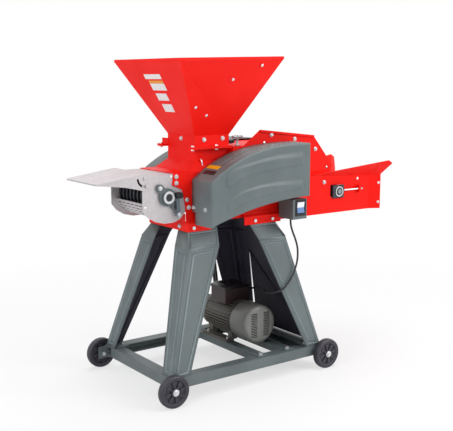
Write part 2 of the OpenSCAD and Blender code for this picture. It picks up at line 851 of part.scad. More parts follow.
// Outline of a side plate, from its lower left corner round
side_outline = concat(
    [[-leg_top_x, bed_z], [bed_x + gap, bed_z], [bed_x + gap, trough_z], [404, trough_z], [404, 817],
     [cover_x1, 817], [cover_x1, hood_seam_z], [neck_x1, hood_seam_z], [neck_x1, roof_z],
     [-272, roof_z], [-278, 806], [-234, 787]],
    [[-224, 745], [-leg_top_x, 706]]
);

module side_plate(s) {
    y0 = s > 0 ? inner_y : -house_y;
    y1 = y0 + plate_t;
    union()
        difference() {
            prism_y(side_outline, y0, y1);
            rod_y(rotor_x, rotor_z, 24, y0 - 1, y1 + 1, 48);
            rod_y(roller_x, lower_z, 12.5 + run_gap, y0 - 1, y1 + 1, 48);
            rod_y(head_x, head_z, 10 + run_gap, y0 - 1, y1 + 1, 48);
            box([roller_x - 16, y0 - 1, upper_z - 18], [roller_x + 16, y1 + 1, hood_seam_z + 1]);
        }
}

module side_plate_near() {
    color("#e2231f") translate(seat)
        side_plate(-1);
}

module side_plate_far() {
    color("#e2231f") translate(seat)
        side_plate(1);
}

module roof_shell() {
    y = house_y;
    x0 = -272;
    flare_z = roof_z + 38;
    tube_y = neck_w / 2;
    color("#e2231f") translate(seat)
        difference() {
            union() {
                box([x0, -y, roof_z], [neck_x1, y, roof_z + sheet_t]);
                hull() {
                    box([-200, -y, roof_z], [neck_x1, y, roof_z + sheet_t]);
                    box([neck_x0, -tube_y, flare_z], [neck_x1, tube_y, flare_z + 1]);
                }
                box([neck_x0, -tube_y, flare_z], [neck_x1, tube_y, neck_z]);
                for (s = [-1, 1])
                    box([neck_x0 - 30, s > 0 ? tube_y - 1 : -tube_y - 33, neck_z - 5],
                        [neck_x1 - 8, s > 0 ? tube_y + 33 : -tube_y + 1, neck_z]);
            }
            hull() {
                box([-197, -y + sheet_t, roof_z - 1], [neck_x1 - sheet_t, y - sheet_t, roof_z]);
                box([neck_x0 + sheet_t, -tube_y + sheet_t, flare_z],
                    [neck_x1 - sheet_t, tube_y - sheet_t, flare_z + 1]);
            }
            box([neck_x0 + sheet_t, -tube_y + sheet_t, flare_z - 1],
                [neck_x1 - sheet_t, tube_y - sheet_t, neck_z + 1]);
            box([neck_x1 - 5, -tube_y + sheet_t, roof_z - 1], [neck_x1 + 1, tube_y - sheet_t, rotor_z + rotor_r + 4]);
            for (s = [-1, 1], x = flange_bolt_x)
                translate([x, s * (tube_y + 17), neck_z - 10])
                    cylinder(h = 20, r = 4.1, $fn = 24);
        }
}

flange_bolt_x = [neck_x0 - 22, neck_x0 + 90];

// X where the hood's end face meets its flat top
hood_end_x = 454.5;
hood_outline = [
    [neck_x1 + gap, hood_seam_z], [cover_x1, hood_seam_z], [cover_x1, 817], [522, 817], [544, 835],
    [hood_end_x, hood_flat_z], [neck_x1 + gap, hood_flat_z]
];
hood_cavity = [
    [neck_x1 + 4, hood_seam_z - 2], [cover_x1 + 4, hood_seam_z - 2], [cover_x1 + 4, 815],
    [519, 815], [539, 835], [hood_end_x - 2, hood_flat_z - 3], [neck_x1 + 4, hood_flat_z - 3]
];
hood_slope_y = -60;
hood_rise = 60;
hood_peak = 143;
hood_back = [430, hood_flat_z + 29];

// Crest along the hood's near side: an upright sheet and the slope behind it
module hood_crest() {
    near = -house_y + sheet_t;
    prism_y([[hood_rise, hood_flat_z - 1], [hood_rise, hood_flat_z], [hood_peak, hood_top_z], hood_back,
             [hood_end_x, hood_flat_z], [hood_end_x, hood_flat_z - 1]], -house_y, near);
    hull() {
        prism_y([[hood_peak, hood_flat_z - 1], [hood_peak, hood_top_z], hood_back,
                 [hood_end_x, hood_flat_z], [hood_end_x, hood_flat_z - 1]], -house_y, near);
        box([hood_peak, hood_slope_y - 1, hood_flat_z - 1], [hood_end_x, hood_slope_y, hood_flat_z]);
    }
}

module feed_hood() {
    rim = 7;
    near = -house_y + sheet_t;
    color("#e2231f") translate(seat)
        difference() {
            union() {
                prism_y(hood_outline, -house_y, house_y);
                hood_crest();
                prism_y([[hood_peak, hood_top_z - 9], [hood_peak, hood_top_z], hood_back, hood_back - [0, 9]],
                        -house_y - rim, near);
            }
            prism_y(hood_cavity, near, -near);
            hull() {
                prism_y([[hood_peak + 3, hood_flat_z - 4], [hood_peak + 3, hood_top_z - 4], hood_back - [1.5, 3.5],
                         [hood_end_x - 4, hood_flat_z - 4]], near, near + 0.5);
                box([hood_peak + 3, hood_slope_y - 7, hood_flat_z - 4.5],
                    [hood_end_x - 4, hood_slope_y - 6, hood_flat_z - 4]);
            }
            translate([screw_x, screw_y, hood_flat_z - 10])
                cylinder(h = 20, r = 5 + run_gap, $fn = 32);
            box([neck_x1 - 1, -neck_w / 2 + sheet_t, hood_seam_z - 1],
                [neck_x1 + 5, neck_w / 2 - sheet_t, rotor_z + rotor_r + 4]);
            box([roller_x - 16.5, -house_y - 1, hood_seam_z - 1],
                [roller_x + 16.5, house_y + 1, upper_z + 22 + roller_lift + 2]);
        }
}

screw_x = 40;
screw_y = -108;

// T-handled screw that clamps the feed setting
module clamp_screw() {
    color("#8f9294") translate(seat)
        translate([screw_x, screw_y, 0])
            union() {
                translate([0, 0, hood_flat_z - 12])
                    cylinder(h = 44, r = 5, $fn = 32);
                translate([0, 0, hood_flat_z + 0.3])
                    cylinder(h = 4, r = 10, $fn = 32);
                rod_x(0, hood_flat_z + 36, 5, -24, 24, 24);
                translate([0, 0, hood_flat_z + 30])
                    cylinder(h = 12, r = 8, $fn = 32);
            }
}

// COVERS

function cover_top(x) = cover_top_z - cover_top_drop * pow((cover_x1 - x) / (cover_x1 - cover_x0), 3);
function cover_low(x) = cover_low_z - cover_low_drop * pow((cover_x1 - x) / (cover_x1 - cover_x0), 2);

// Outline of a cover, drawn in by the wall t
function cover_outline(t) =
    let (x0 = cover_x0 + t, x1 = cover_x1 - t, n = 14)
    concat(
        [for (i = [0:n]) let (x = x0 + (x1 - x0) * i / n) [x, cover_low(x) + t]],
        [for (i = [0:n]) let (x = x1 - (x1 - x0) * i / n) [x, cover_top(x) - t]]
    );

module cover_shell() {
    difference() {
        prism_y(cover_outline(0), cover_y0, cover_y1);
        prism_y(cover_outline(cover_t), cover_y0 - 1, cover_y1 - cover_t);
        box([cover_x0 - 1, cover_y0 - 1, leg_top_z], [boots[0][1] + 4, leg_top_y + sheet_t + 3, bed_z + 43]);
    }
}

module gear_cover() {
    color("#6b7273") translate(seat)
        mirror([0, 1, 0])
            union() {
                cover_shell();
                cover_tabs();
            }
}

// Tabs bent in from the end walls, flat against the side plate
module cover_tabs() {
    box([cover_x0, house_y, 740], [cover_x0 + 22, cover_y0 + 1, 800]);
    box([cover_x1 - 22, house_y, 790], [cover_x1, cover_y0 + 1, 860]);
}

module belt_cover() {
    color("#6b7273") translate(seat)
        difference() {
            union() {
                cover_shell();
                cover_tabs();
            }
            box([-82, cover_y0 + 60, 640], [186, cover_y1 - cover_t - 1, 760]);
            box([cover_x0 - 1, outlet_belt_y - 14, 690], [cover_x0 + 28, outlet_belt_y + 14, 850]);
        }
}

// ROTOR

module rotor_bearings() {
    color("#6f7476") translate(seat)
        for (s = [-1, 1])
            mirror([0, s > 0 ? 0 : 1, 0])
                difference() {
                    union() {
                        rod_y(rotor_x, rotor_z, 40, house_y, house_y + 10, 64);
                        box([rotor_x - 60, house_y, rotor_z - 18], [rotor_x + 60, house_y + 10, rotor_z + 18]);
                        rod_y(rotor_x, rotor_z, 32, house_y + 9, house_y + 20, 64);
                    }
                    rod_y(rotor_x, rotor_z, 17.5 + run_gap, house_y - 1, house_y + 22, 64);
                    for (sx = [-1, 1])
                        rod_y(rotor_x + sx * 48, rotor_z, 5.1, house_y - 1, house_y + 12, 24);
                }
}

disc_lines = [-86, -43, 0, 43, 86];
rotor_half = 91;
pin_r = disc_r - 20;

module rotor_shaft() {
    color("#8b8e90") translate(seat)
        difference() {
            union() {
                rod_y(rotor_x, rotor_z, rotor_shaft_d / 2, -inner_y + 2, inner_y - 2, 48);
                rod_y(rotor_x, rotor_z, 17.5, chain_y - 10, belt_y + 20, 48);
                for (y = disc_lines)
                    rod_y(rotor_x, rotor_z, disc_r, y - 5, y + 5, 72);
                rod_y(rotor_x, rotor_z, rotor_sprocket_r, chain_y - 3, chain_y + 3, 48);
            }
            for (a = [45:90:315])
                rod_y(rotor_x + pin_r * cos(a), rotor_z + pin_r * sin(a), 6.1, -rotor_half - 1, rotor_half + 1, 32);
            for (a = [0, 180])
                translate([rotor_x, 0, rotor_z])
                    rotate([0, -a, 0])
                        box([disc_r - 16, -100, -7], [disc_r + 5, 100, 7]);
        }
}

module rotor_knives() {
    color("#c9ccce") translate(seat)
        for (a = [0, 180])
            translate([rotor_x, 0, rotor_z])
                rotate([0, -a, 0])
                    prism_y([[disc_r - 15.7, -6.7], [rotor_r - 14, -6.7], [rotor_r, 4], [rotor_r - 1, 6.7],
                             [disc_r - 15.7, 6.7]], -rotor_half, rotor_half);
}

// Flat hammers on four pins between the discs
module hammer_sets() {
    color("#7d8083") translate(seat)
        for (a = [45:90:315])
            translate([rotor_x, 0, rotor_z])
                rotate([0, -a, 0]) {
                    rod_y(pin_r, 0, 6, -rotor_half, rotor_half, 32);
                    for (y = [-64.5, -21.5, 21.5, 64.5])
                        difference() {
                            box([pin_r - 14, y - 3, -14], [rotor_r - 3, y + 3, 14]);
                            rod_y(pin_r, 0, 6.3, y - 4, y + 4, 32);
                        }
                }
}

module sieve_screen() {
    r0 = rotor_r + sieve_gap;
    color("#9a9da0") translate(seat)
        difference() {
            translate([rotor_x, inner_y - gap, rotor_z])
                rotate([90, 0, 0])
                    rotate([0, 0, 196])
                        rotate_extrude(angle = 134, $fn = 120)
                            translate([r0, 0])
                                square([3, 2 * (inner_y - gap)]);
            for (a = [206:12:320], y = [-90:36:90])
                translate([rotor_x, y, rotor_z])
                    rotate([0, -a, 0])
                        box([r0 - 2, -13, -3], [r0 + 5, 13, 3]);
        }
}

// HOPPER

function rim_at(x) = rim_z + rim_rise * (x - hopper_x + rim_w / 2) / rim_w;

// Part of the sloping rim, drawn in by t, between heights a and b over the rim's upper edge
module rim_slab(t, a, b) {
    x0 = hopper_x - rim_w / 2 + t;
    x1 = hopper_x + rim_w / 2 - t;
    prism_y([[x0, rim_at(x0) + a], [x1, rim_at(x1) + a], [x1, rim_at(x1) + b], [x0, rim_at(x0) + b]],
            -rim_w / 2 + t, rim_w / 2 - t);
}

module hopper() {
    t = 2;
    n = neck_w / 2;
    color("#e2231f") translate(seat)
        difference() {
            union() {
                hull() {
                    box([neck_x0, -n, funnel_z], [neck_x1, n, funnel_z + 1]);
                    rim_slab(t, -rim_h, 1 - rim_h);
                }
                rim_slab(0, -rim_h, 0);
            }
            hull() {
                box([neck_x0 + t, -n + t, funnel_z - 0.1], [neck_x1 - t, n - t, funnel_z + 0.5]);
                rim_slab(2 * t, -rim_h, 1 - rim_h);
            }
            box([neck_x0 + t, -n + t, funnel_z - 1], [neck_x1 - t, n - t, funnel_z + 0.3]);
            rim_slab(t, 0.9 - rim_h, 1);
        }
}

gate_z = neck_z + 8;

module hopper_neck() {
    n = neck_w / 2;
    color("#e2231f") translate(seat)
        difference() {
            union() {
                box([neck_x0, -n, neck_z], [neck_x1, n, funnel_z]);
                for (s = [-1, 1])
                    box([neck_x0 - 30, s > 0 ? n - 1 : -n - 33, neck_z],
                        [neck_x1 - 8, s > 0 ? n + 33 : -n + 1, neck_z + 5]);
                box([neck_x0 - 2, n - 2, neck_z + 2], [neck_x0 + 1, n + 40, neck_z + 27]);
                for (s = [-1, 1])
                    box([neck_x0 + 2, s > 0 ? n - 8 : -n + 2, gate_z - 4],
                        [neck_x1 - 2, s > 0 ? n - 2 : -n + 8, gate_z - gap]);
            }
            difference() {
                box([neck_x0 + sheet_t, -n + sheet_t, neck_z - 1],
                    [neck_x1 - sheet_t, n - sheet_t, funnel_z + 1]);
                for (s = [-1, 1])
                    box([neck_x0 + 2, s > 0 ? n - 8 : -n + 2, gate_z - 4],
                        [neck_x1 - 2, s > 0 ? n - 2 : -n + 8, gate_z - gap]);
            }
            box([neck_x1 - 5, -n + 4, gate_z - gap], [neck_x1 + 1, n - 4, gate_z + 3 + gap]);
            for (s = [-1, 1], x = flange_bolt_x)
                translate([x, s * (n + 17), neck_z - 10])
                    cylinder(h = 20, r = 4.1, $fn = 24);
        }
}

// Sheet gate with its grip standing up at the outer end
module slide_gate() {
    n = neck_w / 2;
    grip_x = neck_x1 + 12;
    color("#3a3a3c") translate(seat)
        union() {
            box([neck_x0 + sheet_t + 1, -n + 5, gate_z], [grip_x + 10, n - 5, gate_z + 3]);
            box([grip_x, -90, gate_z + 2], [grip_x + 22, -60, gate_z + 14]);
        }
}

// FEED

module roller(x, z, core_r, y_near, y_far, shaft_r) {
    rod_y(x, z, shaft_r, y_near, y_far, 48);
    rod_y(x, z, core_r, -inner_y + 2, inner_y - 2, 64);
    for (a = [0:30:330])
        translate([x, 0, z])
            rotate([0, a, 0])
                box([core_r - 3, -inner_y + 4, -2.5], [roller_r, inner_y - 4, 2.5]);
}

gear_n = 12;
gear_pitch_r = roller_pitch / 2;

// Gear with straight-flanked teeth, first tooth at angle a0
module gear(x, z, a0, y0, y1) {
    tip = gear_pitch_r + 4;
    root = gear_pitch_r - 7;
    step = 360 / gear_n;
    prism_y([for (i = [0:gear_n - 1], k = [0:3])
        let (a = a0 + i * step + [-7.5, -3, 3, 7.5][k], r = [root, tip, tip, root][k])
        [x + r * cos(a), z + r * sin(a)]], y0, y1);
}

module lower_roller() {
    color("#7b6f68") translate(seat)
        union() {
            roller(roller_x, lower_z, 28, gear_y - 14, house_y + 12, 12.5);
            gear(roller_x, lower_z, 90, gear_y - 10, gear_y + 8);
            rod_y(roller_x, lower_z, roller_sprocket_r, chain_y - 3, chain_y + 3, 48);
            rod_y(roller_x, lower_z, head_sprocket_r, chain_y + 7, chain_y + 13, 48);
        }
}

module upper_roller() {
    color("#7b6f68") translate(seat)
        union() {
            roller(roller_x, upper_z, 28, gear_y - 14, house_y + 12, 12.5);
            gear(roller_x, upper_z, -90 + 180 / gear_n, gear_y - 10, gear_y + 8);
        }
}

// Sliding blocks that carry the upper roller in the side plates
module roller_carriers() {
    color("#8a8d8f") translate(seat)
        for (s = [-1, 1])
            mirror([0, s > 0 ? 0 : 1, 0])
                difference() {
                    box([roller_x - 16 + 0.1, inner_y + 0.1, upper_z - 17.7],
                        [roller_x + 16 - 0.1, house_y + 5, upper_z + 22]);
                    rod_y(roller_x, upper_z, 12.5 + run_gap, inner_y - 1, house_y + 7, 48);
                }
}

module head_roller() {
    color("#8a8d8f") translate(seat)
        union() {
            rod_y(head_x, head_z, conveyor_r, -inner_y + 3, inner_y - 3, 64);
            rod_y(head_x, head_z, 10, chain_y + 4, house_y + 10, 48);
            rod_y(head_x, head_z, head_sprocket_r, chain_y + 7, chain_y + 13, 48);
        }
}

module tail_roller() {
    color("#8a8d8f") translate(seat)
        union() {
            rod_y(tail_x, tail_z, conveyor_r, -inner_y + 3, inner_y - 3, 64);
            rod_y(tail_x, tail_z, 10, -house_y - 16, house_y + 16, 48);
        }
}

module conveyor_belt() {
    color("#2b2b2b") translate(seat)
        belt([head_x, head_z], conveyor_r, [tail_x, tail_z], conveyor_r, gap, gap + web_t,
             -inner_y + 6, inner_y - 6);
}

module feed_chains() {
    color("#4a4c4e") translate(seat) {
        belt([rotor_x, rotor_z], rotor_sprocket_r, [roller_x, lower_z], roller_sprocket_r,
             gap, chain_t, chain_y - 3, chain_y + 3);
        belt([roller_x, lower_z], head_sprocket_r, [head_x, head_z], head_sprocket_r,
             gap, chain_t, chain_y + 7, chain_y + 13);
    }
}

bracket_x = tail_x + 116;
tension_y = house_y + 8.5;
takeup_rise = takeup_travel * (head_z - tail_z) / (tail_x - head_x);

module takeup_bearings() {
    color("#6f7476") translate(seat)
        for (s = [-1, 1])
            mirror([0, s > 0 ? 0 : 1, 0])
                difference() {
                    union() {
                        rod_y(tail_x, tail_z, 26, house_y - 3, house_y + 12, 48);
                        box([tail_x - 34, house_y + 0.3, tail_z - 28], [tail_x + 30, house_y + 10, tail_z + 28]);
                    }
                    rod_y(tail_x, tail_z, 10 + run_gap, house_y - 4, house_y + 14, 48);
                }
}

module tension_bolts() {
    color("#c3c6c8") translate(seat)
        for (s = [-1, 1])
            union() {
                rod_x(s * tension_y, tail_z + 4, 4, tail_x + 30 + gap, bracket_x + 28, 24);
                rod_x(s * tension_y, tail_z + 4, 8, bracket_x + 12 + gap, bracket_x + 20, 6);
            }
}

// Small block at a corner of a bent sheet; the sheet is stretched between such corners
module lip_point(p) {
    translate(p)
        cube([0.5, sheet_t, 2], center = true);
}

module trough_wall() {
    y = house_y - sheet_t / 2;
    top0 = 798;
    top1 = 779;
    union() {
        difference() {
            prism_y([[404 + gap, trough_z], [flare_x, trough_z], [flare_x, top1], [404 + gap, top0]],
                    house_y - sheet_t, house_y);
            box([tail_x - 27 - takeup_travel, house_y - sheet_t - 1, tail_z - 27],
                [tail_x + 27, house_y + 1, tail_z + 27 + takeup_rise]);
        }
        box([bracket_x, house_y - 1, tail_z - 12], [bracket_x + 12, tension_y + 9, tail_z + 20]);
        hull()
            for (p = [[flare_x, y, trough_z + 1], [flare_x, y, top1 - 1],
                      [mouth_x, y + mouth_flare, trough_z + 1], [mouth_x, y + mouth_flare, top1 + 4]])
                lip_point(p);
        hull()
            for (p = [[434, y, top0 - 2], [flare_x, y, top1 - 1], [434, y + 2, top0],
                      [flare_x, y + lip_out - 10, top1 + 59]])
                lip_point(p);
        hull()
            for (p = [[flare_x, y, top1 - 1], [mouth_x, y + mouth_flare, top1 + 4],
                      [flare_x, y + lip_out - 10, top1 + 59], [mouth_x + 10, y + lip_out, top1 + 66],
                      [mouth_x + lip_past - 0.25, y + lip_out, top1 + 53]])
                lip_point(p);
    }
}

module feed_trough() {
    y = house_y - sheet_t;
    color("#e2231f") translate(seat)
        difference() {
            union() {
                trough_wall();
                mirror([0, 1, 0])
                    trough_wall();
                box([404 + gap, -y - 1, trough_z], [flare_x, y + 1, trough_z + sheet_t]);
                prism_y([[tail_x + 34, tail_z + 18], [flare_x, tail_z + 22], [flare_x, tail_z + 25],
                         [tail_x + 34, tail_z + 21]], -y - 1, y + 1);
                hull()
                    for (s = [-1, 1]) {
                        translate([flare_x, s * (y - 1), tail_z + 23.5])
                            cube([0.5, 2, 3], center = true);
                        translate([mouth_x, s * (y + mouth_flare - 1), tail_z + 27])
                            cube([0.5, 2, 3], center = true);
                    }
            }
            for (s = [-1, 1])
                rod_x(s * tension_y, tail_z + 4, 4.3, bracket_x - 2, bracket_x + 14, 24);
        }
}

// OUTLET

casing_outline = [
    [-407, 802], [-407, 718], [-386, 692], [-352, 672], [-311, 662], [-270, 663], [-238, 676],
    [-218.5, 700], [-218.5, 760], [-222, 790], [-240, 808], [-240, roof_z - gap], [-368, roof_z - gap], [-392, 852],
    [-407, 844]
];

module outlet_casing() {
    y1 = inner_y - gap;
    color("#c2c2c4") translate(seat)
        difference() {
            union() {
                for (s = [-1, 1])
                    prism_y(casing_outline, s > 0 ? y1 - casing_t : -y1, s > 0 ? y1 : -y1 + casing_t);
                box([-368, -y1, roof_z - gap - casing_t], [-240, y1, roof_z - gap]);
                for (s = [-1, 1], p = [[pivot_x, pivot_z], stud])
                    mirror([0, s > 0 ? 0 : 1, 0]) {
                        rod_y(p[0], p[1], 4, y1 - 1, inner_y + 6, 32);
                        rod_y(p[0], p[1], 7, inner_y + 2 + gap, inner_y + 7, 32);
                    }
            }
            rod_y(drum_x, drum_z, 16, -y1 - 1, y1 + 1, 48);
        }
}

// Clamp stud at the lower end of the deflector's slot
stud = [pivot_x + slot_r * cos(285), pivot_z + slot_r * sin(285)];

// Concave screen under the drum
module outlet_screen() {
    y1 = inner_y - gap - casing_t - gap;
    color("#77797a") translate(seat)
        difference() {
            translate([drum_x, y1, drum_z])
                rotate([90, 0, 0])
                    rotate([0, 0, 196])
                        rotate_extrude(angle = 118, $fn = 96)
                            translate([drum_r + 12, 0])
                                square([3, 2 * y1]);
            for (a = [204:10:308], y = [-96:32:96])
                translate([drum_x, y, drum_z])
                    rotate([0, -a, 0])
                        box([drum_r + 8, -12, -2.5], [drum_r + 20, 12, 2.5]);
        }
}

module outlet_drum() {
    y1 = inner_y - gap - casing_t - 4;
    discs = 9;
    color("#232527") translate(seat)
        union() {
            rod_y(drum_x, drum_z, 44, -y1, y1, 64);
            rod_y(drum_x, drum_z, 12.5, -inner_y - 20, outlet_belt_y + 12, 48);
            for (i = [0:discs - 1])
                rod_y(drum_x, drum_z, drum_r, -y1 + i * 2 * (y1 - 5) / (discs - 1),
                      -y1 + 10 + i * 2 * (y1 - 5) / (discs - 1), 72);
        }
}

// Two-bolt flange bearings of the outlet drum
module outlet_bearings() {
    y0 = inner_y - gap;
    ear = 49;
    color("#777d7e") translate(seat)
        for (s = [-1, 1])
            mirror([0, s > 0 ? 0 : 1, 0])
                difference() {
                    union() {
                        rod_y(drum_x, drum_z, 34, y0, y0 + 11, 64);
                        translate([drum_x, 0, drum_z])
                            rotate([0, 48, 0]) {
                                rod_y(-ear, 0, 15, y0, y0 + 10, 48);
                                rod_y(ear, 0, 15, y0, y0 + 10, 48);
                                box([-ear, y0, -15], [ear, y0 + 10, 15]);
                            }
                        rod_y(drum_x, drum_z, 24, y0 + 9, y0 + 20, 64);
                    }
                    rod_y(drum_x, drum_z, 12.5 + run_gap, y0 - 1, y0 + 22, 64);
                    translate([drum_x, 0, drum_z])
                        rotate([0, 48, 0])
                            rod_y(ear, 0, 5, y0 - 1, y0 + 12, 32);
                }
}

deflector_skirt = [
    [deflector_x, 826], [deflector_x + 40, 822], [-480, 812], [-436, 802], [-404, 794], [-374, 795], [-366, 815],
    [-368, 846], [-385, 858], [-397, 858], [deflector_x, 830]
];

module deflector_hood() {
    y0 = inner_y;
    y1 = y0 + 2;
    color("#c2c2c4") translate(seat)
        difference() {
            union() {
                for (s = [-1, 1])
                    mirror([0, s > 0 ? 0 : 1, 0])
                        prism_y(deflector_skirt, y0, y1);
                prism_y([[deflector_x, 828], [deflector_x, 830], [-397, 858], [-385, 858], [-385, 856],
                         [-397, 856]], -y1, y1);
                box([deflector_x, -y1, 826], [deflector_x + 2, y1, 831]);
            }
            translate([0, 0, 800])
                linear_extrude(40)
                    polygon([[deflector_x - 1, y1 - 14], [deflector_x + 14, y1 + 1], [deflector_x - 1, y1 + 1]]);
            for (s = [-1, 1]) {
                rod_y(pivot_x, pivot_z, 4 + run_gap, s > 0 ? y0 - 1 : -y1 - 1, s > 0 ? y1 + 1 : -y0 + 1, 32);
                translate([pivot_x, s > 0 ? y1 + 1 : -y0 + 1, pivot_z])
                    rotate([90, 0, 0])
                        rotate([0, 0, 180])
                            rotate_extrude(angle = 115, $fn = 64)
                                translate([slot_r - 4.3, 0])
                                    square([8.6, 4]);
            }
        }
}

lever_x = drum_x + 44;
knob_x = lever_x - 5;

module lock_lever() {
    y0 = -inner_y + gap;
    color("#6f7476") translate(seat)
        union() {
            rod_y(lever_x, lever_z, 8, y0 - 16, y0 - 0.1, 32);
            rod_y(lever_x, lever_z, 11, y0 - 22, y0 - 14, 6);
            prism_y([[lever_x - 7, lever_z], [lever_x + 7, lever_z], [knob_x + 7, lever_z + lever_l],
                     [knob_x - 7, lever_z + lever_l]], y0 - 19, y0 - 15);
            rod_y(knob_x, lever_z + lever_l, 12, y0 - 40, y0 - 14, 48);
        }
}

// SWITCH

switch_x0 = 228;

module switch_box() {
    rim = 4;
    back_y = -leg_top_y - sheet_t - 3;
    color("#5c6468") translate(seat)
        difference() {
            union() {
                box([switch_x0, switch_y, switch_z], [switch_x0 + switch_w, back_y, switch_z + switch_h]);
                box([bed_x + 4, back_y - 1, switch_z + 10],
                    [switch_x0 + switch_w - 4, -house_y, switch_z + switch_h - 12]);
            }
            box([switch_x0 + 19, switch_y - 1, switch_z + 20],
                [switch_x0 + 61, switch_y + 10, switch_z + switch_h - 6]);
            box([switch_x0 + rim, switch_y + 14, switch_z + rim],
                [switch_x0 + switch_w - rim, back_y - rim, switch_z + switch_h - rim]);
            rod_x(switch_y + 6, rocker_z, 2 + run_gap, switch_x0 + 16, switch_x0 + 64, 24);
        }
}

rocker_z = switch_z + 48;

module switch_rocker() {
    x0 = switch_x0 + 22;
    x1 = switch_x0 + 58;
    color("#dfe6ee") translate(seat)
        union() {
            translate([x0, 0, 0])
                rotate([90, 0, 90])
                    linear_extrude(x1 - x0)
                        polygon([
                            [switch_y + 8, rocker_z - 4], [switch_y + 8, rocker_z + 4],
                            [switch_y + 2, rocker_z + 22], [switch_y - 4, rocker_z + 22],
                            [switch_y - 1, rocker_z], [switch_y - 4, rocker_z - 22],
                            [switch_y + 2, rocker_z - 22]
                        ]);
            rod_x(switch_y + 6, rocker_z, 2, switch_x0 + 17, switch_x0 + 63, 24);
        }
}

base_frame();
motor_rails();
leg_near_left();
leg_near_right();
leg_far_left();
leg_far_right();
side_guard();
wheel_near_left();
wheel_near_right();
wheel_far_left();
wheel_far_right();
frame_bolts();
motor_body();
motor_end_bells();
fan_cowl();
motor_fan();
motor_shaft();
motor_pulley();
terminal_box();
terminal_lid();
cable_gland();
motor_cord();
drive_belts();
rotor_pulley();
outlet_belt();
outlet_pulley();
machine_bed();
side_plate_near();
side_plate_far();
roof_shell();
feed_hood();
gear_cover();
belt_cover();
rotor_bearings();
rotor_shaft();
rotor_knives();
hammer_sets();
sieve_screen();
hopper();
hopper_neck();
slide_gate();
clamp_screw();
feed_trough();
conveyor_belt();
head_roller();
tail_roller();
takeup_bearings();
tension_bolts();
lower_roller();
upper_roller();
roller_carriers();
feed_chains();
outlet_casing();
outlet_screen();
outlet_drum();
outlet_bearings();
deflector_hood();
lock_lever();
switch_box();
switch_rocker();
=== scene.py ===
import math

import bmesh
import bpy
from mathutils import Matrix, Vector


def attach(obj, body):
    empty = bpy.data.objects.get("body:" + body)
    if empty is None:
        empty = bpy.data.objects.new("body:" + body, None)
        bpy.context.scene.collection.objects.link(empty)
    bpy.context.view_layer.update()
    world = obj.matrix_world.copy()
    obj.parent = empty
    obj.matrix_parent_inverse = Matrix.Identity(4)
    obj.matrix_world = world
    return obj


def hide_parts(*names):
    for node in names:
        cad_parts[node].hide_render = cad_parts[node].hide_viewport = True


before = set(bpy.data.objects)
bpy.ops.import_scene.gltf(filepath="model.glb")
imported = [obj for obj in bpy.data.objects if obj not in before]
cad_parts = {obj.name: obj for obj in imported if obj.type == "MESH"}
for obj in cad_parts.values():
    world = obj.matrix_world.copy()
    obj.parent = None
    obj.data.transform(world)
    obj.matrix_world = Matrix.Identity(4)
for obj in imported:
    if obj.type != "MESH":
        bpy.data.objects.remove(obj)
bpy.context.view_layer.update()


# Camera, floor and lamps. The camera stands off the machine's front left corner, a little above the
# outlet. The floor is plain and pale, and the lamps are the soft boxes and white walls of a studio.

def srgb(code):
    """An sRGB hex colour as the linear colour that a shader takes."""
    parts = [int(code[i:i + 2], 16) / 255 for i in (1, 3, 5)]
    return [p / 12.92 if p <= 0.04045 else ((p + 0.055) / 1.055) ** 2.4 for p in parts] + [1.0]


def add(tree, kind, links=None, **settings):
    """Adds one node with its settings; links holds a value or another node's output per input."""
    node = tree.nodes.new("ShaderNode" + kind)
    for key, value in settings.items():
        setattr(node, key, value)
    for key, value in (links or {}).items():
        if isinstance(value, bpy.types.NodeSocket):
            tree.links.new(value, node.inputs[key])
        else:
            node.inputs[key].default_value = value
    return node


scene = bpy.context.scene
scene.view_settings.view_transform = "Standard"

camera_place = (-2.1127, -2.7989, 1.2045)
heading, dip, roll = -36.283, 9.194, 0.126  # degrees: to the right, below level, and about the view
camera = bpy.data.objects.new("camera", bpy.data.cameras.new("camera"))
camera.data.sensor_fit = "HORIZONTAL"
camera.data.lens = 67.17
camera.matrix_world = (
    Matrix.Translation(camera_place)
    @ Matrix.Rotation(math.radians(heading), 4, "Z")
    @ Matrix.Rotation(math.radians(90 - dip), 4, "X")
    @ Matrix.Rotation(math.radians(roll), 4, "Z")
)
scene.collection.objects.link(camera)
scene.camera = camera

# The walls light the machine at half strength, and show white to the camera and in reflections.
world = bpy.data.worlds.new("studio_walls")
world.use_nodes = True
tree = world.node_tree
tree.nodes.clear()
rays = add(tree, "LightPath").outputs
seen = add(tree, "Math", {0: rays["Is Camera Ray"], 1: rays["Is Glossy Ray"]}, operation="MAXIMUM")
seen = add(tree, "Math", {0: seen.outputs[0], 1: rays["Is Transmission Ray"]}, operation="MAXIMUM")
walls = add(tree, "Background", {"Color": srgb("#F4F6F8"), "Strength": 0.50})
white = add(tree, "Background", {"Color": srgb("#FFFFFF"), "Strength": 1.0})
both = add(tree, "MixShader", {0: seen.outputs[0], 1: walls.outputs[0], 2: white.outputs[0]})
add(tree, "OutputWorld", {"Surface": both.outputs[0]})
scene.world = world

for name, place, aim, size, power in (
    ("key_box", (2.3, -3.4, 2.7), (0.0, 0.0, 0.7), 2.2, 95),
    ("side_box", (-3.6, -1.0, 2.2), (-0.1, 0.0, 0.7), 2.2, 45),
    ("top_box", (0.2, 0.3, 3.6), (0.0, 0.0, 0.8), 2.8, 70),
):
    lamp = bpy.data.lights.new(name, "AREA")
    lamp.shape = "SQUARE"
    lamp.size = size
    lamp.energy = power
    box = bpy.data.objects.new(name, lamp)
    box.location = place
    box.rotation_euler = (Vector(aim) - Vector(place)).to_track_quat("-Z", "Y").to_euler()
    scene.collection.objects.link(box)

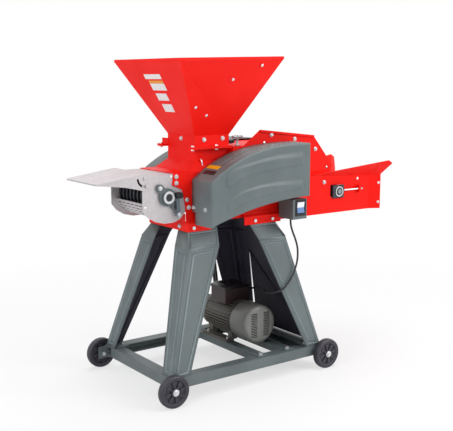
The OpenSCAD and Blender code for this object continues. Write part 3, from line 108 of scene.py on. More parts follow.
floor_reach = 14
bm = bmesh.new()
bmesh.ops.create_circle(bm, cap_ends=True, segments=96, radius=floor_reach)
mesh = bpy.data.meshes.new("floor")
bm.to_mesh(mesh)
bm.free()
floor = bpy.data.objects.new("floor", mesh)
scene.collection.objects.link(floor)

# The floor takes the machine's shadow near its foot, and glows white to the camera further out.
fade_from, fade_to, glow_near = 0.7, 2.4, 0.62
pale = bpy.data.materials.new("floor_pale")
pale.use_nodes = True
tree = pale.node_tree
tree.nodes.clear()
rays = add(tree, "LightPath").outputs
spot = add(tree, "TexCoord")
reach = add(tree, "VectorMath", {0: spot.outputs["Object"]}, operation="LENGTH")
fade = add(tree, "MapRange", {"Value": reach.outputs["Value"], "From Min": fade_from,
                              "From Max": fade_to, "To Min": glow_near, "To Max": 1.0})
share = add(tree, "Math", {0: fade.outputs[0], 1: rays["Is Camera Ray"]}, operation="MULTIPLY")
plain = add(tree, "BsdfDiffuse", {"Color": srgb("#F3F3F3")})
glow = add(tree, "Emission", {"Color": srgb("#FFFFFF"), "Strength": 1.0})
both = add(tree, "MixShader", {0: share.outputs[0], 1: plain.outputs[0], 2: glow.outputs[0]})
add(tree, "OutputMaterial", {"Surface": both.outputs[0]})
mesh.materials.append(pale)


# Motor cable. Black PVC sheath of 8 mm over three cores, out of the switch box's bottom, down
# beside the near right leg and round into the gland of the motor's terminal box. It is 0.62 m long.

route = [
    (125, -196, 640), (125, -196, 622), (127, -198, 604), (134, -201, 580), (144, -205, 552),
    (152, -208, 522), (154, -210, 492), (150, -212, 464), (139, -216, 438), (124, -219, 412),
    (106, -222, 390), (87, -224, 372), (69, -225, 359), (54, -219, 349), (43, -203, 341),
    (39, -187, 335), (41, -170, 330), (48, -150, 325), (59, -128, 320), (73, -105, 315),
    (88, -83, 311), (103, -61, 308), (116, -40, 307), (124, -20, 307), (122, -2, 307),
    (109, 11, 308), (89, 15, 308),
]


def blank(name):
    """An empty material: its tree, and the object's own coordinates for its patterns."""
    material = bpy.data.materials.new(name)
    material.use_nodes = True
    material.node_tree.nodes.clear()
    return material, material.node_tree, add(material.node_tree, "TexCoord").outputs["Object"]


def bent_line(name, points, radius, steps, sides, material):
    """A round line of one radius along places in metres: a cable, or a bent rod."""
    curve = bpy.data.curves.new(name, "CURVE")
    curve.dimensions = "3D"
    line = curve.splines.new("BEZIER")
    line.bezier_points.add(len(points) - 1)
    for knot, spot in zip(line.bezier_points, points):
        knot.co = spot
        knot.handle_left_type = knot.handle_right_type = "AUTO"
    line.resolution_u = steps
    curve.bevel_depth = radius
    curve.bevel_resolution = sides
    curve.materials.append(material)
    part = bpy.data.objects.new(name, curve)
    scene.collection.objects.link(part)
    return part


# PVC, extruded: soft black with a low satin gloss, and dust in clouds of about 17 mm.
cable_pvc, tree, place = blank("cable_pvc")
dust = add(tree, "TexNoise", {"Vector": place, "Scale": 60.0, "Detail": 3.0})
tone = add(tree, "Mix", {0: dust.outputs["Fac"], 6: srgb("#131315"), 7: srgb("#26262A")},
           data_type="RGBA")
skin = add(tree, "BsdfPrincipled", {"Base Color": tone.outputs[2], "Roughness": 0.42, "IOR": 1.5})
add(tree, "OutputMaterial", {"Surface": skin.outputs[0]})

cable = bent_line("motor_cable", [Vector(spot) / 1000 for spot in route], 0.004, 5, 4, cable_pvc)
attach(cable, "machine")
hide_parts("motor_cord")


# Base frame and motor rails. Pressed steel channels, welded at the corners, with a flat bracket for
# each wheel; the rails are folded strips bolted across. All are powder coated dark grey.

def powder_coat(name, colour, shade, roughness, peel=0.10, gleam=0.5):
    """Paint baked on sheet steel: even, a little clouded, with the fine dimples of orange peel."""
    material, tree, place = blank(name)
    # Clouds of about 140 mm turn the colour a little towards its shade and change the gloss.
    cloud = add(tree, "TexNoise", {"Vector": place, "Scale": 7.0, "Detail": 2.0}).outputs["Fac"]
    mask = add(tree, "MapRange", {"Value": cloud, "From Min": 0.35, "From Max": 0.65})
    tone = add(tree, "Mix", {0: mask.outputs[0], 6: srgb(colour), 7: srgb(shade)},
               data_type="RGBA")
    # The real peel is 1 mm across; 4 mm still shows from a few metres.
    pits = add(tree, "TexNoise", {"Vector": place, "Scale": 250.0, "Detail": 1.0})
    bump = add(tree, "Bump", {"Height": pits.outputs["Fac"], "Strength": peel,
                              "Distance": 0.0004})
    gloss = add(tree, "MapRange", {"Value": cloud, "From Min": 0.3, "From Max": 0.7,
                                   "To Min": roughness - 0.04, "To Max": roughness + 0.05})
    skin = add(tree, "BsdfPrincipled", {"Base Color": tone.outputs[2],
                                        "Roughness": gloss.outputs[0], "Normal": bump.outputs[0],
                                        "IOR": 1.5, "Specular IOR Level": gleam})
    add(tree, "OutputMaterial", {"Surface": skin.outputs[0]})
    return material


def dress(material, edge, *names):
    """Gives CAD pieces their finish, and their hard edges a small round that catches the light."""
    for name in names:
        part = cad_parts[name]
        part.data.materials.clear()
        part.data.materials.append(material)
        if edge:
            weld = part.modifiers.new("weld", "WELD")
            weld.merge_threshold = 0.00002
            soft = part.modifiers.new("edge", "BEVEL")
            soft.width = edge
            soft.segments = 2
            soft.limit_method = "ANGLE"
            soft.angle_limit = math.radians(40)
            soft.harden_normals = True


# Powder coat, dark grey with a green cast: satin, so that flat sheets show broad soft lights.
grey_coat = powder_coat("grey_powder_coat", "#667071", "#5C6667", 0.42)
dress(grey_coat, 0.0012, "base_frame", "motor_rails")


# Wheels. Solid moulded wheels of black polypropylene with a thick rounded tread, each on a zinc
# bolt through the base bracket.

def moulded(name, colour, shade, roughness, grain):
    """Moulded plastic with the fine grain of its mould; grain is the pit spacing in mm."""
    material, tree, place = blank(name)
    cloud = add(tree, "TexNoise", {"Vector": place, "Scale": 22.0, "Detail": 3.0})  # about 45 mm
    tone = add(tree, "Mix", {0: cloud.outputs["Fac"], 6: srgb(colour), 7: srgb(shade)},
               data_type="RGBA")
    pits = add(tree, "TexNoise", {"Vector": place, "Scale": 1000 / grain, "Detail": 2.0})
    bump = add(tree, "Bump", {"Height": pits.outputs["Fac"], "Strength": 0.2,
                              "Distance": 0.0003})
    skin = add(tree, "BsdfPrincipled", {"Base Color": tone.outputs[2], "Roughness": roughness,
                                        "Normal": bump.outputs[0], "IOR": 1.5})
    add(tree, "OutputMaterial", {"Surface": skin.outputs[0]})
    return material


# Polypropylene: near black with a plum cast, half matt. Its grain is drawn at 3 mm to show.
wheel_plastic = moulded("moulded_polypropylene", "#2B2A33", "#38363F", 0.45, 3)
dress(wheel_plastic, 0.0010, "wheel_near_left", "wheel_near_right", "wheel_far_left",
      "wheel_far_right")

# Zinc plate, bright dipped: a cold pale metal, uneven in spots of about 6 mm.
zinc, tree, place = blank("zinc_plate")
cloud = add(tree, "TexNoise", {"Vector": place, "Scale": 180.0, "Detail": 2.0})
tone = add(tree, "Mix", {0: cloud.outputs["Fac"], 6: srgb("#E9EAEA"), 7: srgb("#C9CCCE")},
           data_type="RGBA")
skin = add(tree, "BsdfPrincipled", {"Base Color": tone.outputs[2], "Metallic": 0.85,
                                    "Roughness": 0.33})
add(tree, "OutputMaterial", {"Surface": skin.outputs[0]})
dress(zinc, 0.0006, "frame_bolts")


# Legs. Each is one sheet of 4 mm steel folded to an angle, kinked near its top, with a long panel
# pressed into both flanges to stiffen them, and a foot tab and a top tab for the bolts.

leg_sheet, leg_fold = 0.004, 0.007
# Corners in mm from the base's middle: plain ones on the fold, _b on the broad flange's inner edge
# and _s on the side flange's, then the top tab and the foot tab.
leg_corners = {
    "foot": (370, 261, 99), "kink": (240, 180, 564), "top": (217, 141, 622),
    "foot_b": (292, 261, 99), "kink_b": (99, 180, 564), "top_b": (81, 141, 622),
    "foot_s": (370, 188, 99), "kink_s": (240, 79, 564), "top_s": (217, 68, 622),
    "tab_a": (91, 141, 650), "tab_b": (213, 141, 650),
    "pad_a": (298, 191, 103), "pad_b": (368, 191, 103),
    "pad_c": (368, 259, 103), "pad_d": (298, 259, 103),
}
# Steps of each pressed panel from its edge inwards, in mm: how far in, and how far out or down.
broad_steps = ((15, 0), (4, -5), (9, 0), (5, 5))
side_steps = ((21, 0), (3, -4), (9, 0), (3, 4))
crown_steps = ((7, 0), (3, -4), (6, 0), (3, 3))


def at(x, y, z):
    """A place in the machine's frame, from mm over the floor and from the base's middle."""
    return Vector((x - 125, y, z)) / 1000


def piece(name, bm, material, body):
    """Turns a bmesh into a finished piece that rides on a body of the machine."""
    mesh = bpy.data.meshes.new(name)
    bm.to_mesh(mesh)
    bm.free()
    mesh.polygons.foreach_set("use_smooth", [True] * len(mesh.polygons))
    mesh.set_sharp_from_angle(angle=math.radians(34))
    mesh.materials.append(material)
    part = bpy.data.objects.new(name, mesh)
    scene.collection.objects.link(part)
    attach(part, body)
    return part


def sheet_wall(part, thickness):
    """Gives a folded outline the thickness of its sheet, inwards."""
    wall = part.modifiers.new("sheet", "SOLIDIFY")
    wall.thickness = thickness
    wall.offset = -1
    return part


# Powder coat on the sheet's inner side: painted dark as shade, and duller than outside.
painted_shade_coat = powder_coat("painted_shade_inner_coat", "#3A3945", "#33323D", 0.5, gleam=0.3)
# Powder coat on the slopes of the pressed panels, paler as a painted highlight along them.
painted_highlight_coat = powder_coat("painted_highlight_ridge_coat", "#93A0A2", "#87949A", 0.36)


def pressed_leg(name, node, across, along):
    """One leg, made at the far right corner and turned over to its own corner by -1 or 1."""
    bm = bmesh.new()
    corner = {key: bm.verts.new(Vector(spot) / 1000) for key, spot in leg_corners.items()}

    def face(*keys):
        return bm.faces.new([corner[key] for key in keys])

    broad = face("foot", "foot_b", "kink_b", "kink")
    crown = face("kink", "kink_b", "top_b", "top")
    side = face("foot_s", "foot", "kink", "kink_s")
    face("kink_s", "kink", "top", "top_s")
    face("top", "top_b", "tab_a", "tab_b")
    face("pad_a", "pad_b", "pad_c", "pad_d")
    bm.normal_update()
    for panel, steps in ((broad, broad_steps), (side, side_steps), (crown, crown_steps)):
        for draw, depth in steps:
            ring = bmesh.ops.inset_individual(bm, faces=[panel], thickness=draw / 1000,
                                              depth=depth / 1000)["faces"]
            # The slopes of each step take slot 2, the painted highlight.
            for slope in ring:
                slope.material_index = 2 if depth else 0
    folds = ({corner["foot"], corner["kink"]}, {corner["kink"], corner["top"]})
    bmesh.ops.bevel(bm, geom=[edge for edge in bm.edges if {*edge.verts} in folds],
                    offset=leg_fold, segments=3, profile=0.5, affect="EDGES", material=-1)
    stand = Matrix.Translation(at(0, 0, 0)) @ Matrix.Diagonal((across, along, 1, 1))
    bmesh.ops.transform(bm, matrix=stand, verts=bm.verts)
    if across * along < 0:
        bmesh.ops.reverse_faces(bm, faces=bm.faces)
    leg = sheet_wall(piece(name, bm, grey_coat, "machine"), leg_sheet)
    # Slots: 0 outside flats, 2 slopes in painted highlight, 1 and 3 the inside of each in painted
    # shade.
    for coat in (painted_shade_coat, painted_highlight_coat, painted_shade_coat):
        leg.data.materials.append(coat)
    leg.modifiers["sheet"].material_offset = 1
    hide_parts(node)


pressed_leg("pressed_leg_near_left", "leg_near_left", -1, -1)
pressed_leg("pressed_leg_near_right", "leg_near_right", 1, -1)
pressed_leg("pressed_leg_far_left", "leg_far_left", -1, 1)
pressed_leg("pressed_leg_far_right", "leg_far_right", 1, 1)

# Side guard: a 2 mm sheet behind the right pair of legs. Powder coat, dull, painted nearly black as
# shade.
painted_shade_guard_coat = powder_coat("painted_shade_guard_powder_coat", "#35333F", "#2E2C37", 0.5, gleam=0.3)
dress(painted_shade_guard_coat, 0.0004, "side_guard")


# Motor. Aluminium body with cooling fins, cast end bells and feet, and a pressed steel cowl over
# the fan, all sprayed a warm grey; the capacitors sit in a dark plastic box with a domed lid.

# Enamel, sprayed: warm grey and half glossy on the castings, paler and smoother on the cowl.
motor_paint = powder_coat("motor_enamel", "#63605A", "#55534E", 0.40, 0.25)
cowl_paint = powder_coat("cowl_enamel", "#82837F", "#757672", 0.36, 0.15)
dress(motor_paint, 0.0005, "motor_body", "motor_end_bells")
dress(cowl_paint, 0.0006, "fan_cowl")

# ABS, moulded: glossy and black on the lid, a duller brown on the box. Grain drawn at 2 mm.
black_plastic = moulded("moulded_abs", "#141216", "#1E1B20", 0.26, 2)
box_plastic = moulded("moulded_abs_brown", "#2C1E20", "#38282A", 0.38, 2)
dress(black_plastic, 0.0015, "terminal_lid", "cable_gland", "motor_fan")
dress(box_plastic, 0.0015, "terminal_box")

# Turned steel: a mid grey metal, half bright, stained in clouds of about 11 mm by oil.
steel, tree, place = blank("turned_steel")
cloud = add(tree, "TexNoise", {"Vector": place, "Scale": 90.0, "Detail": 3.0})
tone = add(tree, "Mix", {0: cloud.outputs["Fac"], 6: srgb("#B5B7B9"), 7: srgb("#8E9193")},
           data_type="RGBA")
skin = add(tree, "BsdfPrincipled", {"Base Color": tone.outputs[2], "Metallic": 0.9,
                                    "Roughness": 0.36})
add(tree, "OutputMaterial", {"Surface": skin.outputs[0]})
dress(steel, 0.0006, "motor_shaft")


# Belts and pulleys. Grey iron V-pulleys are keyed on the shafts of the motor, the rotor and the
# drum, with black rubber belts, behind the far cover.

# Grey iron, sand cast and thinly painted: dull, with grit of 2 to 3 mm and clouds of about 33 mm.
cast_iron, tree, place = blank("cast_iron")
grit = add(tree, "TexNoise", {"Vector": place, "Scale": 420.0, "Detail": 3.0})
cloud = add(tree, "TexNoise", {"Vector": place, "Scale": 30.0, "Detail": 3.0})
tone = add(tree, "Mix", {0: cloud.outputs["Fac"], 6: srgb("#565D5F"), 7: srgb("#70787A")},
           data_type="RGBA")
bump = add(tree, "Bump", {"Height": grit.outputs["Fac"], "Strength": 0.35, "Distance": 0.0005})
skin = add(tree, "BsdfPrincipled", {"Base Color": tone.outputs[2], "Metallic": 0.35,
                                    "Roughness": 0.5, "Normal": bump.outputs[0]})
add(tree, "OutputMaterial", {"Surface": skin.outputs[0]})
dress(cast_iron, 0.0008, "motor_pulley", "rotor_pulley", "outlet_pulley")

# Rubber, moulded round its cords: black and matt.
belt_rubber = moulded("moulded_rubber", "#1B1B1C", "#262627", 0.62, 4)
dress(belt_rubber, 0.0008, "drive_belts", "outlet_belt")


# Housing. Bed, side plates, roof with its neck and the feed hood are cut and folded from 3 to 4 mm
# sheet, welded and bolted together, and powder coated a bright signal red.

# Powder coat, signal red: strong and even, with little gleam, so that it stays red in every light.
red_coat = powder_coat("red_powder_coat", "#FB1A0F", "#F5160C", 0.42, gleam=0.14)
dress(red_coat, 0.0010, "machine_bed", "side_plate_near", "side_plate_far", "roof_shell",
      "feed_hood")

near, far, left = (0, -1, 0), (0, 1, 0), (-1, 0, 0)
# Each kind is a stack of round or hexagonal steps: sides, radius below and above, height, in mm.
stacks = {
    "rivet": ((20, 6.2, 4.5, 1.4), (20, 4.5, 1.8, 1.4)),
    "bolt": ((28, 9.2, 9.0, 1.8), (6, 7.5, 7.5, 4.2), (6, 7.5, 6.0, 1.2)),
    "cap": ((32, 13.5, 12.5, 3.0), (32, 9.5, 5.5, 3.0)),
}


def facing(x, y, z, out):
    """The stand of a round part: its foot at a place, and its own z along the way out."""
    turn = Vector(out).to_track_quat("Z", "Y").to_matrix().to_4x4()
    return Matrix.Translation(at(x, y, z)) @ turn


def fasteners(name, material, rows, body="machine"):
    """Bolt heads on washers, domed rivets or caps on the sheets: place, way out, kind of each."""
    bm = bmesh.new()
    for x, y, z, out, kind in rows:
        foot = 0.0
        for sides, low, high, tall in stacks[kind]:
            stand = facing(x, y, z, out) @ Matrix.Translation((0, 0, (foot + tall / 2) / 1000))
            bmesh.ops.create_cone(bm, cap_ends=True, segments=sides, radius1=low / 1000,
                                  radius2=high / 1000, depth=tall / 1000, matrix=stand)
            foot += tall
    bmesh.ops.remove_doubles(bm, verts=bm.verts, dist=0.00001)
    return piece(name, bm, material, body)


fasteners("neck_bolts", zinc, [
    (-156.5, -4.6, 972.4, left, "bolt"), (-113.6, -97, 970.5, near, "bolt"),
    (-24.9, -97, 972.5, near, "bolt"),
])
corner_out = (-0.447, -0.894, 0)  # square to the trough's flared end
fasteners("housing_bolts", zinc, [
    (-261, -125, 838, near, "bolt"), (-261, -125, 813.6, near, "bolt"),
    (-213, -125, 746.5, near, "bolt"), (-206, -125, 715.9, near, "bolt"),
    (-220, -86, 639.5, left, "bolt"), (442, -125, 911, near, "bolt"),
    (164.5, -125, 948.7, near, "rivet"), (200.6, -125, 980, near, "bolt"),
    (325.4, -125, 958, near, "bolt"), (510.6, -125, 829, near, "rivet"),
    (497, -125, 764.6, near, "bolt"), (699, -125, 767.5, near, "rivet"),
    (812, -146, 742.5, corner_out, "rivet"), (812, -146, 655, corner_out, "rivet"),
])


# Rotor. A steel shaft with welded discs carries the knives that chop and the swinging hammers that
# grind, and runs in two iron bearings bolted outside the side plates.

dress(cast_iron, 0.0008, "rotor_bearings", "hammer_sets", "rotor_shaft")
dress(steel, 0.0006, "rotor_knives")


# Hopper. A funnel of four red sheets, riveted together, stands on a bolted neck; a black slide gate
# with a clamp screw shuts it off. Its left sheet carries printed film, which is kept bare here.

dress(red_coat, 0.0010, "hopper", "hopper_neck")
dress(black_plastic, 0.0010, "slide_gate")
dress(steel, 0.0006, "clamp_screw")
lean = (0, -0.89, -0.457)  # square to the near sheet
film_lift = 0.0012
# The left sheet's foot, and how far it leans out over its height.
foot_x, foot_z, sheet_out, sheet_tall = -156.5, 987, 157.5, 279
fasteners("hopper_rivets", zinc, [
    (62.9, -235.0, 1254.9, lean, "rivet"), (-55.2, -207.4, 1201, lean, "rivet"),
    (-189.5, -153.3, 1096.7, lean, "rivet"), (-128.6, -136.7, 1064.8, lean, "rivet"),
])

# Under the funnel a round red cap closes a hole in the roof's neck, over a bent wire hook.
fasteners("neck_cap", red_coat, [(-131, -97, 914, near, "cap")])
hook_line = [(-131, -99, 896), (-131, -104, 892), (-129, -107, 876), (-122, -107, 852),
             (-119, -104, 838), (-124, -101, 832)]
hook = bent_line("neck_hook", [at(*spot) for spot in hook_line], 0.0028, 6, 3, zinc)
hook.data.use_fill_caps = True
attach(hook, "machine")

# Printed film, drawn on smooth plastic: flat and even, white or orange, half glossy.
film_white = moulded("printed_film_white", "#F0EDEB", "#E8E5E4", 0.4, 4)
film_orange = moulded("printed_film_orange", "#F29A1E", "#EE9216", 0.4, 4)


def plate(name, corners, material):
    """A thin bare plate stuck flat on a sheet; its corners run counter-clockwise from outside."""
    bm = bmesh.new()
    out = (corners[1] - corners[0]).cross(corners[-1] - corners[0]).normalized()
    flat = bm.faces.new([bm.verts.new(spot) for spot in corners])
    grown = bmesh.ops.extrude_face_region(bm, geom=[flat])["geom"]
    lifted = [item for item in grown if isinstance(item, bmesh.types.BMVert)]
    bmesh.ops.translate(bm, vec=out * film_lift, verts=lifted)
    bmesh.ops.recalc_face_normals(bm, faces=bm.faces)
    piece(name, bm, material, "machine")


def left_sheet(y, z):
    """A place on the hopper's left sheet."""
    return at(foot_x - (z - foot_z) * sheet_out / sheet_tall, y, z)


for name, y0, y1, z0, z1, film in (
    ("hopper_plate_a", 59, -57, 1203, 1221, film_white),
    ("hopper_plate_b", 43, -57, 1160, 1186, film_white),
    ("hopper_plate_b_top", 43, -57, 1186.5, 1197, film_orange),
    ("hopper_plate_c", 38, -38, 1121, 1148, film_white),
    ("hopper_plate_d", 30, -38, 1077, 1107, film_white),
):
    plate(name, [left_sheet(y0, z0), left_sheet(y1, z0), left_sheet(y1, z1), left_sheet(y0, z1)],
          film)


# Feed. A folded red trough holds a rubber belt over two steel rollers, and two ribbed iron rollers
# draw the crop in, turned by chains and gears. The upper one rides in carriers that can lift.

dress(red_coat, 0.0010, "feed_trough")
dress(belt_rubber, 0.0008, "conveyor_belt")
dress(steel, 0.0006, "head_roller", "tail_roller")
dress(cast_iron, 0.0008, "lower_roller", "upper_roller", "roller_carriers")
dress(cast_iron, 0, "feed_chains")


# Take-up of the feed belt. Blocks of grey iron, painted dark, each with a bright turned ring round
# the roller's shaft; a zinc screw pulls each one back along the trough.

def turned(name, profile, place, out, body):
    """A zinc ring: its profile of radius and height in mm is spun round the line out of a place."""
    bm = bmesh.new()
    line = [bm.verts.new((r / 1000, 0, h / 1000)) for r, h in profile]
    edges = [bm.edges.new(pair) for pair in zip(line, line[1:] + line[:1])]
    bmesh.ops.spin(bm, geom=line + edges, cent=(0, 0, 0), axis=(0, 0, 1), steps=48,
                   angle=math.tau, use_merge=True)
    bmesh.ops.recalc_face_normals(bm, faces=bm.faces)
    bmesh.ops.transform(bm, matrix=facing(*place, out), verts=bm.verts)
    piece(name, bm, zinc, body)


# Enamel brushed on iron: a dark slate grey, half matt.
iron_paint = powder_coat("dark_iron_enamel", "#33363B", "#3D4147", 0.45, 0.3)
dress(iron_paint, 0.0030, "takeup_bearings")
dress(zinc, 0.0006, "tension_bolts")
takeup_ring = [(17, 0), (22.5, 0), (22.5, 2.2), (21.5, 3), (18, 3), (17, 2.2)]
turned("takeup_ring_near", takeup_ring, (578, -137, 719), near, "takeup")
turned("takeup_ring_far", takeup_ring, (578, 137, 719), far, "takeup")


# Covers over the gears and the belts. Deep-drawn from 2.5 mm sheet with two long curved ribs on the
# face and grooves along the top, powder coated grey, and bolted to the housing.

cover_sheet = 0.0025
cover_x0, cover_x1 = -190.0, 299.0
cover_span = cover_x1 - cover_x0
columns, rows = 122, 90
# Rings from the face's edge to the open back: draw-in, distance from the middle, and groove or not.
rings = (
    (6, 258, 0), (3, 257.2, 0), (0.8, 255, 0), (0, 252, 0), (0, 243, 0), (0, 239, 1), (0, 226, 1),
    (0, 222, 0), (0, 204, 0), (0, 200, 1), (0, 187, 1), (0, 183, 0), (0, 176, 0), (0, 160, 0),
    (0, 147, 0), (0, 127, 0),
)
groove_deep, groove_x0, groove_x1, groove_run = 3, -120, 285, 12
# Upper and lower line of each rib, as x and z of their bends.
ribs = (
    (((-126, 822), (-124, 841), (-113, 851), (-99, 862), (-70, 873), (-32, 882), (40, 899),
      (120, 912), (262, 924)),
     ((-126, 808), (-108, 795), (-59, 821), (19, 843), (121, 853), (242, 864), (262, 865))),
    (((-120, 719), (-117, 738), (-103, 754), (-79, 769), (-36, 785), (40, 800), (120, 808),
      (262, 812)),
     ((-120, 708), (-107, 704), (-59, 723), (20, 744), (122, 760), (244, 767), (262, 768))),
)
rib_high, rib_end = 4, 262
# Slopes round a rib in mm: below, at its left and right ends, and above, where they widen with x.
slope_low, slope_left, slope_right, slope_high, slope_wider, wider_from = 6, 6, 9, 6, 26, -60
# The notch clears the bed's raised corner over the left leg: it ends at this x, y and z.
notch_x, notch_y, notch_z = -106, 147, 698
# The window lets the motor's belts through, and the slot the drum's belt: from and to.
window_x0, window_x1, window_y0, window_y1 = -82, 186, 187, 253
slot_y0, slot_y1, slot_x, slot_z = 176, 204, -162, 690
# Narrow flaps inside both ends, where the cover's bolts hold it: x and z from and to.
flap_out, flaps = 127.6, ((-190, -168, 740, 800), (277, 299, 790, 860))


def cover_low(x):
    """Height of the cover's lower edge, which drops towards the outlet."""
    return 735 - 85 * ((cover_x1 - x) / cover_span) ** 2


def cover_top(x):
    """Height of the cover's upper edge, which curves down towards the outlet."""
    return 950 - 127 * ((cover_x1 - x) / cover_span) ** 3


def height_on(line, x):
    """Height of a bent line at x."""
    for (xa, za), (xb, zb) in zip(line, line[1:]):
        if x <= xb:
            return za + (zb - za) * (x - xa) / (xb - xa)
    return line[-1][1]


def rib(x, z):
    """How far the pressed ribs stand out of the cover's face at a place."""
    best = 0.0
    for high, low in ribs:
        start = low[0][0]
        if not start < x < rib_end:
            continue
        along = max(0.0, (x - wider_from) / (rib_end - wider_from))
        wide = slope_high + slope_wider * along
        rise = min((z - height_on(low, x)) / slope_low, (height_on(high, x) - z) / wide,
                   (x - start) / slope_left, (rib_end - x) / slope_right, 1)
        if rise > 0:
            best = max(best, rib_high * rise * rise * (3 - 2 * rise))
    return best


def pressed_cover(name, node, side):
    """One deep-drawn cover, on the near side (-1) or the far side (1)."""
    # The blank is a flat grid with its rim drawn out ring by ring; x, y and -z count the columns,
    # rows and rings. Then each point goes to its place.
    bm = bmesh.new()
    flat = Matrix.Diagonal((columns, rows, 1, 1)) @ Matrix.Translation((0.5, 0.5, 0))
    bmesh.ops.create_grid(bm, x_segments=columns, y_segments=rows, size=0.5, matrix=flat)
    for _ in rings[1:]:
        rim = [edge for edge in bm.edges if edge.is_boundary]
        grown = bmesh.ops.extrude_edge_only(bm, edges=rim)["geom"]
        drawn = [item for item in grown if isinstance(item, bmesh.types.BMVert)]
        bmesh.ops.translate(bm, vec=(0, 0, -1), verts=drawn)
    for vert in bm.verts:
        u, v, depth = (round(c) for c in vert.co)
        draw, out, groove = rings[-depth]
        x = cover_x0 + draw + (cover_span - 2 * draw) * u / columns
        low, high = cover_low(x) + draw, cover_top(x) - draw
        z = low + (high - low) * v / rows
        if v == rows and groove:
            ends = min((x - groove_x0) / groove_run, (groove_x1 - x) / groove_run, 1)
            z -= groove_deep * max(0.0, ends)
        if depth == 0:
            out += rib(x, z)
        vert.co = at(x, side * out, z)
    cut = []
    for cell in bm.faces:
        middle = cell.calc_center_median() * 1000
        x, y, z = middle.x + 125, abs(middle.y), middle.z
        notch = x < notch_x and y < notch_y and z < notch_z
        below = window_x0 < x < window_x1 and window_y0 < y < window_y1 and z < cover_low(x) + 0.5
        round_end = x < cover_x0 + 0.1 and z > slot_z or x < slot_x and z > cover_top(x) - 4
        if notch or side > 0 and (below or slot_y0 < y < slot_y1 and round_end):
            cut.append(cell)
    bmesh.ops.delete(bm, geom=cut, context="FACES")
    for x0, x1, z0, z1 in flaps:
        bm.faces.new([bm.verts.new(at(x, side * flap_out, z))
                      for x, z in ((x0, z0), (x1, z0), (x1, z1), (x0, z1))])
    if side > 0:
        bmesh.ops.reverse_faces(bm, faces=bm.faces)
    cover = sheet_wall(piece(name, bm, cover_coat, "machine"), cover_sheet)
    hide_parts(node)


# Powder coat, grey with a green cast: a little paler and smoother than on the legs.
cover_coat = powder_coat("grey_cover_coat", "#6A7475", "#616B6C", 0.40, gleam=0.4)
pressed_cover("pressed_gear_cover", "gear_cover", -1)
pressed_cover("pressed_belt_cover", "belt_cover", 1)
fasteners("cover_bolts", zinc, [(-190, -137.8, 716, left, "bolt"), (-190, -217, 716, left, "bolt")])

# Two bare strips of printed film lie across the near cover's top.
film_yellow = moulded("printed_film_yellow", "#F6B21C", "#F0A816", 0.4, 4)
film_black = moulded("printed_film_black", "#1A181A", "#232023", 0.4, 4)
strip_gap = 0.2
for name, x0, x1, y0, y1, film, slot in (
    ("cover_strip_yellow", -130, -112, -210, -135, film_yellow, "rocker_white"),
    ("cover_strip_black", -158, -140, -222, -150, film_black, "black_plastic"),
):
    z0, z1 = cover_top(x0) + strip_gap, cover_top(x1) + strip_gap
    plate(name, [at(x0, y0, z0), at(x1, y0, z1), at(x1, y1, z1), at(x0, y1, z0)], film)


# Sieve, outlet unit and deflector. Galvanised sheet, cut and bolted; a dark ribbed drum on iron
# bearings throws the crop out, and a cast lever locks the deflector.

# Hot-dip galvanised sheet: a pale dull metal with spangles of about 9 mm and clouds of about 80 mm.
galvanised, tree, place = blank("galvanised_sheet")
flake = add(tree, "TexVoronoi", {"Vector": place, "Scale": 110.0})
cloud = add(tree, "TexNoise", {"Vector": place, "Scale": 12.0, "Detail": 3.0})
mask = add(tree, "Math", {0: flake.outputs["Color"], 1: 0.55}, operation="MULTIPLY")
mask = add(tree, "Math", {0: mask.outputs[0], 1: cloud.outputs["Fac"]}, operation="ADD")
tone = add(tree, "Mix", {0: mask.outputs[0], 6: srgb("#D3CDCF"), 7: srgb("#BFBABC")},
           data_type="RGBA")
skin = add(tree, "BsdfPrincipled", {"Base Color": tone.outputs[2], "Metallic": 0.45,
                                    "Roughness": 0.40})
add(tree, "OutputMaterial", {"Surface": skin.outputs[0]})
dress(galvanised, 0.0006, "outlet_casing", "deflector_hood", "sieve_screen")
dress(galvanised, 0.0004, "outlet_screen")

# Enamel on the drum: blue-black and half matt.
drum_paint = powder_coat("drum_enamel", "#1D2026", "#292D34", 0.42, 0.3)
dress(drum_paint, 0.0010, "outlet_drum")
dress(cast_iron, 0.0008, "outlet_bearings")

# Lever: cast arm, painted slate grey and glossy, with a moulded black knob on its upper end.
knob_foot = 0.757
lever_finish, tree, place = blank("cast_lever_black_knob")
parts = add(tree, "SeparateXYZ", {0: place})
half = add(tree, "MapRange", {"Value": parts.outputs["Z"], "From Min": knob_foot - 0.0005,
                              "From Max": knob_foot + 0.0005})
tone = add(tree, "Mix", {0: half.outputs[0], 6: srgb("#66707A"), 7: srgb("#15151A")},
           data_type="RGBA")
skin = add(tree, "BsdfPrincipled", {"Base Color": tone.outputs[2], "Roughness": 0.34, "IOR": 1.5})
add(tree, "OutputMaterial", {"Surface": skin.outputs[0]})
dress(lever_finish, 0.0008, "lock_lever")
fasteners("lever_bolt", zinc, [(-259, -142.7, 695, near, "bolt")], body="lever")
fasteners("outlet_bolts", zinc, [
    (-335.8, -130.7, 799.4, near, "bolt"), (-396, -121, 728, near, "rivet"),
    (-281, -121, 838, near, "rivet"),
])

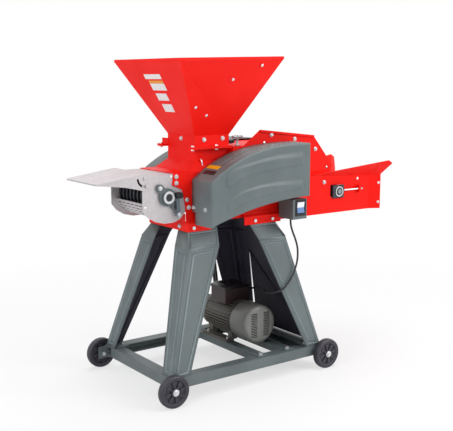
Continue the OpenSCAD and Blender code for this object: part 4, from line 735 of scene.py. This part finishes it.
# A bright ring shows round the drum's shaft.
drum_ring = [(15, 0), (24, 0), (24, 2.2), (23, 3), (16, 3), (15, 2.2)]
turned("outlet_bearing_ring", drum_ring, (-303, -140.7, 763), near, "machine")


# Switch box. A grey folded sheet box screwed to the trough's side plate, with a rocker in a black
# moulded frame.

dress(grey_coat, 0.0015, "switch_box")

# Moulded polycarbonate, glossy: the rocker's upper half is white, its lower half is tinted blue.
rocker_middle = 0.688
rocker_plastic, tree, place = blank("moulded_polycarbonate")
parts = add(tree, "SeparateXYZ", {0: place})
half = add(tree, "MapRange", {"Value": parts.outputs["Z"], "From Min": rocker_middle - 0.0008,
                              "From Max": rocker_middle + 0.0008})
tone = add(tree, "Mix", {0: half.outputs[0], 6: srgb("#6F8FC4"), 7: srgb("#EEF2F8")},
           data_type="RGBA")
skin = add(tree, "BsdfPrincipled", {"Base Color": tone.outputs[2], "Roughness": 0.26, "IOR": 1.5})
add(tree, "OutputMaterial", {"Surface": skin.outputs[0]})
dress(rocker_plastic, 0.0008, "switch_rocker")

# The rocker's frame: x and z of its outer and inner edge, and y of its back and front.
frame_edges = ((241, 295, 653, 723), (248.6, 287.4, 664, 712))
frame_back, frame_front = -235, -237.6
bm = bmesh.new()
loops = []
for x0, x1, z0, z1 in frame_edges:
    line = [bm.verts.new(at(x, frame_back, z))
            for x, z in ((x0, z0), (x1, z0), (x1, z1), (x0, z1))]
    loops += [bm.edges.new(pair) for pair in zip(line, line[1:] + line[:1])]
flat = bmesh.ops.bridge_loops(bm, edges=loops)["faces"]
grown = bmesh.ops.extrude_face_region(bm, geom=flat)["geom"]
front = [item for item in grown if isinstance(item, bmesh.types.BMVert)]
bmesh.ops.translate(bm, vec=(0, (frame_front - frame_back) / 1000, 0), verts=front)
bmesh.ops.recalc_face_normals(bm, faces=bm.faces)
bmesh.ops.bevel(bm, geom=list(bm.edges), offset=0.0006, segments=2, profile=0.5, affect="EDGES",
                material=-1)
piece("switch_frame", bm, black_plastic, "machine")
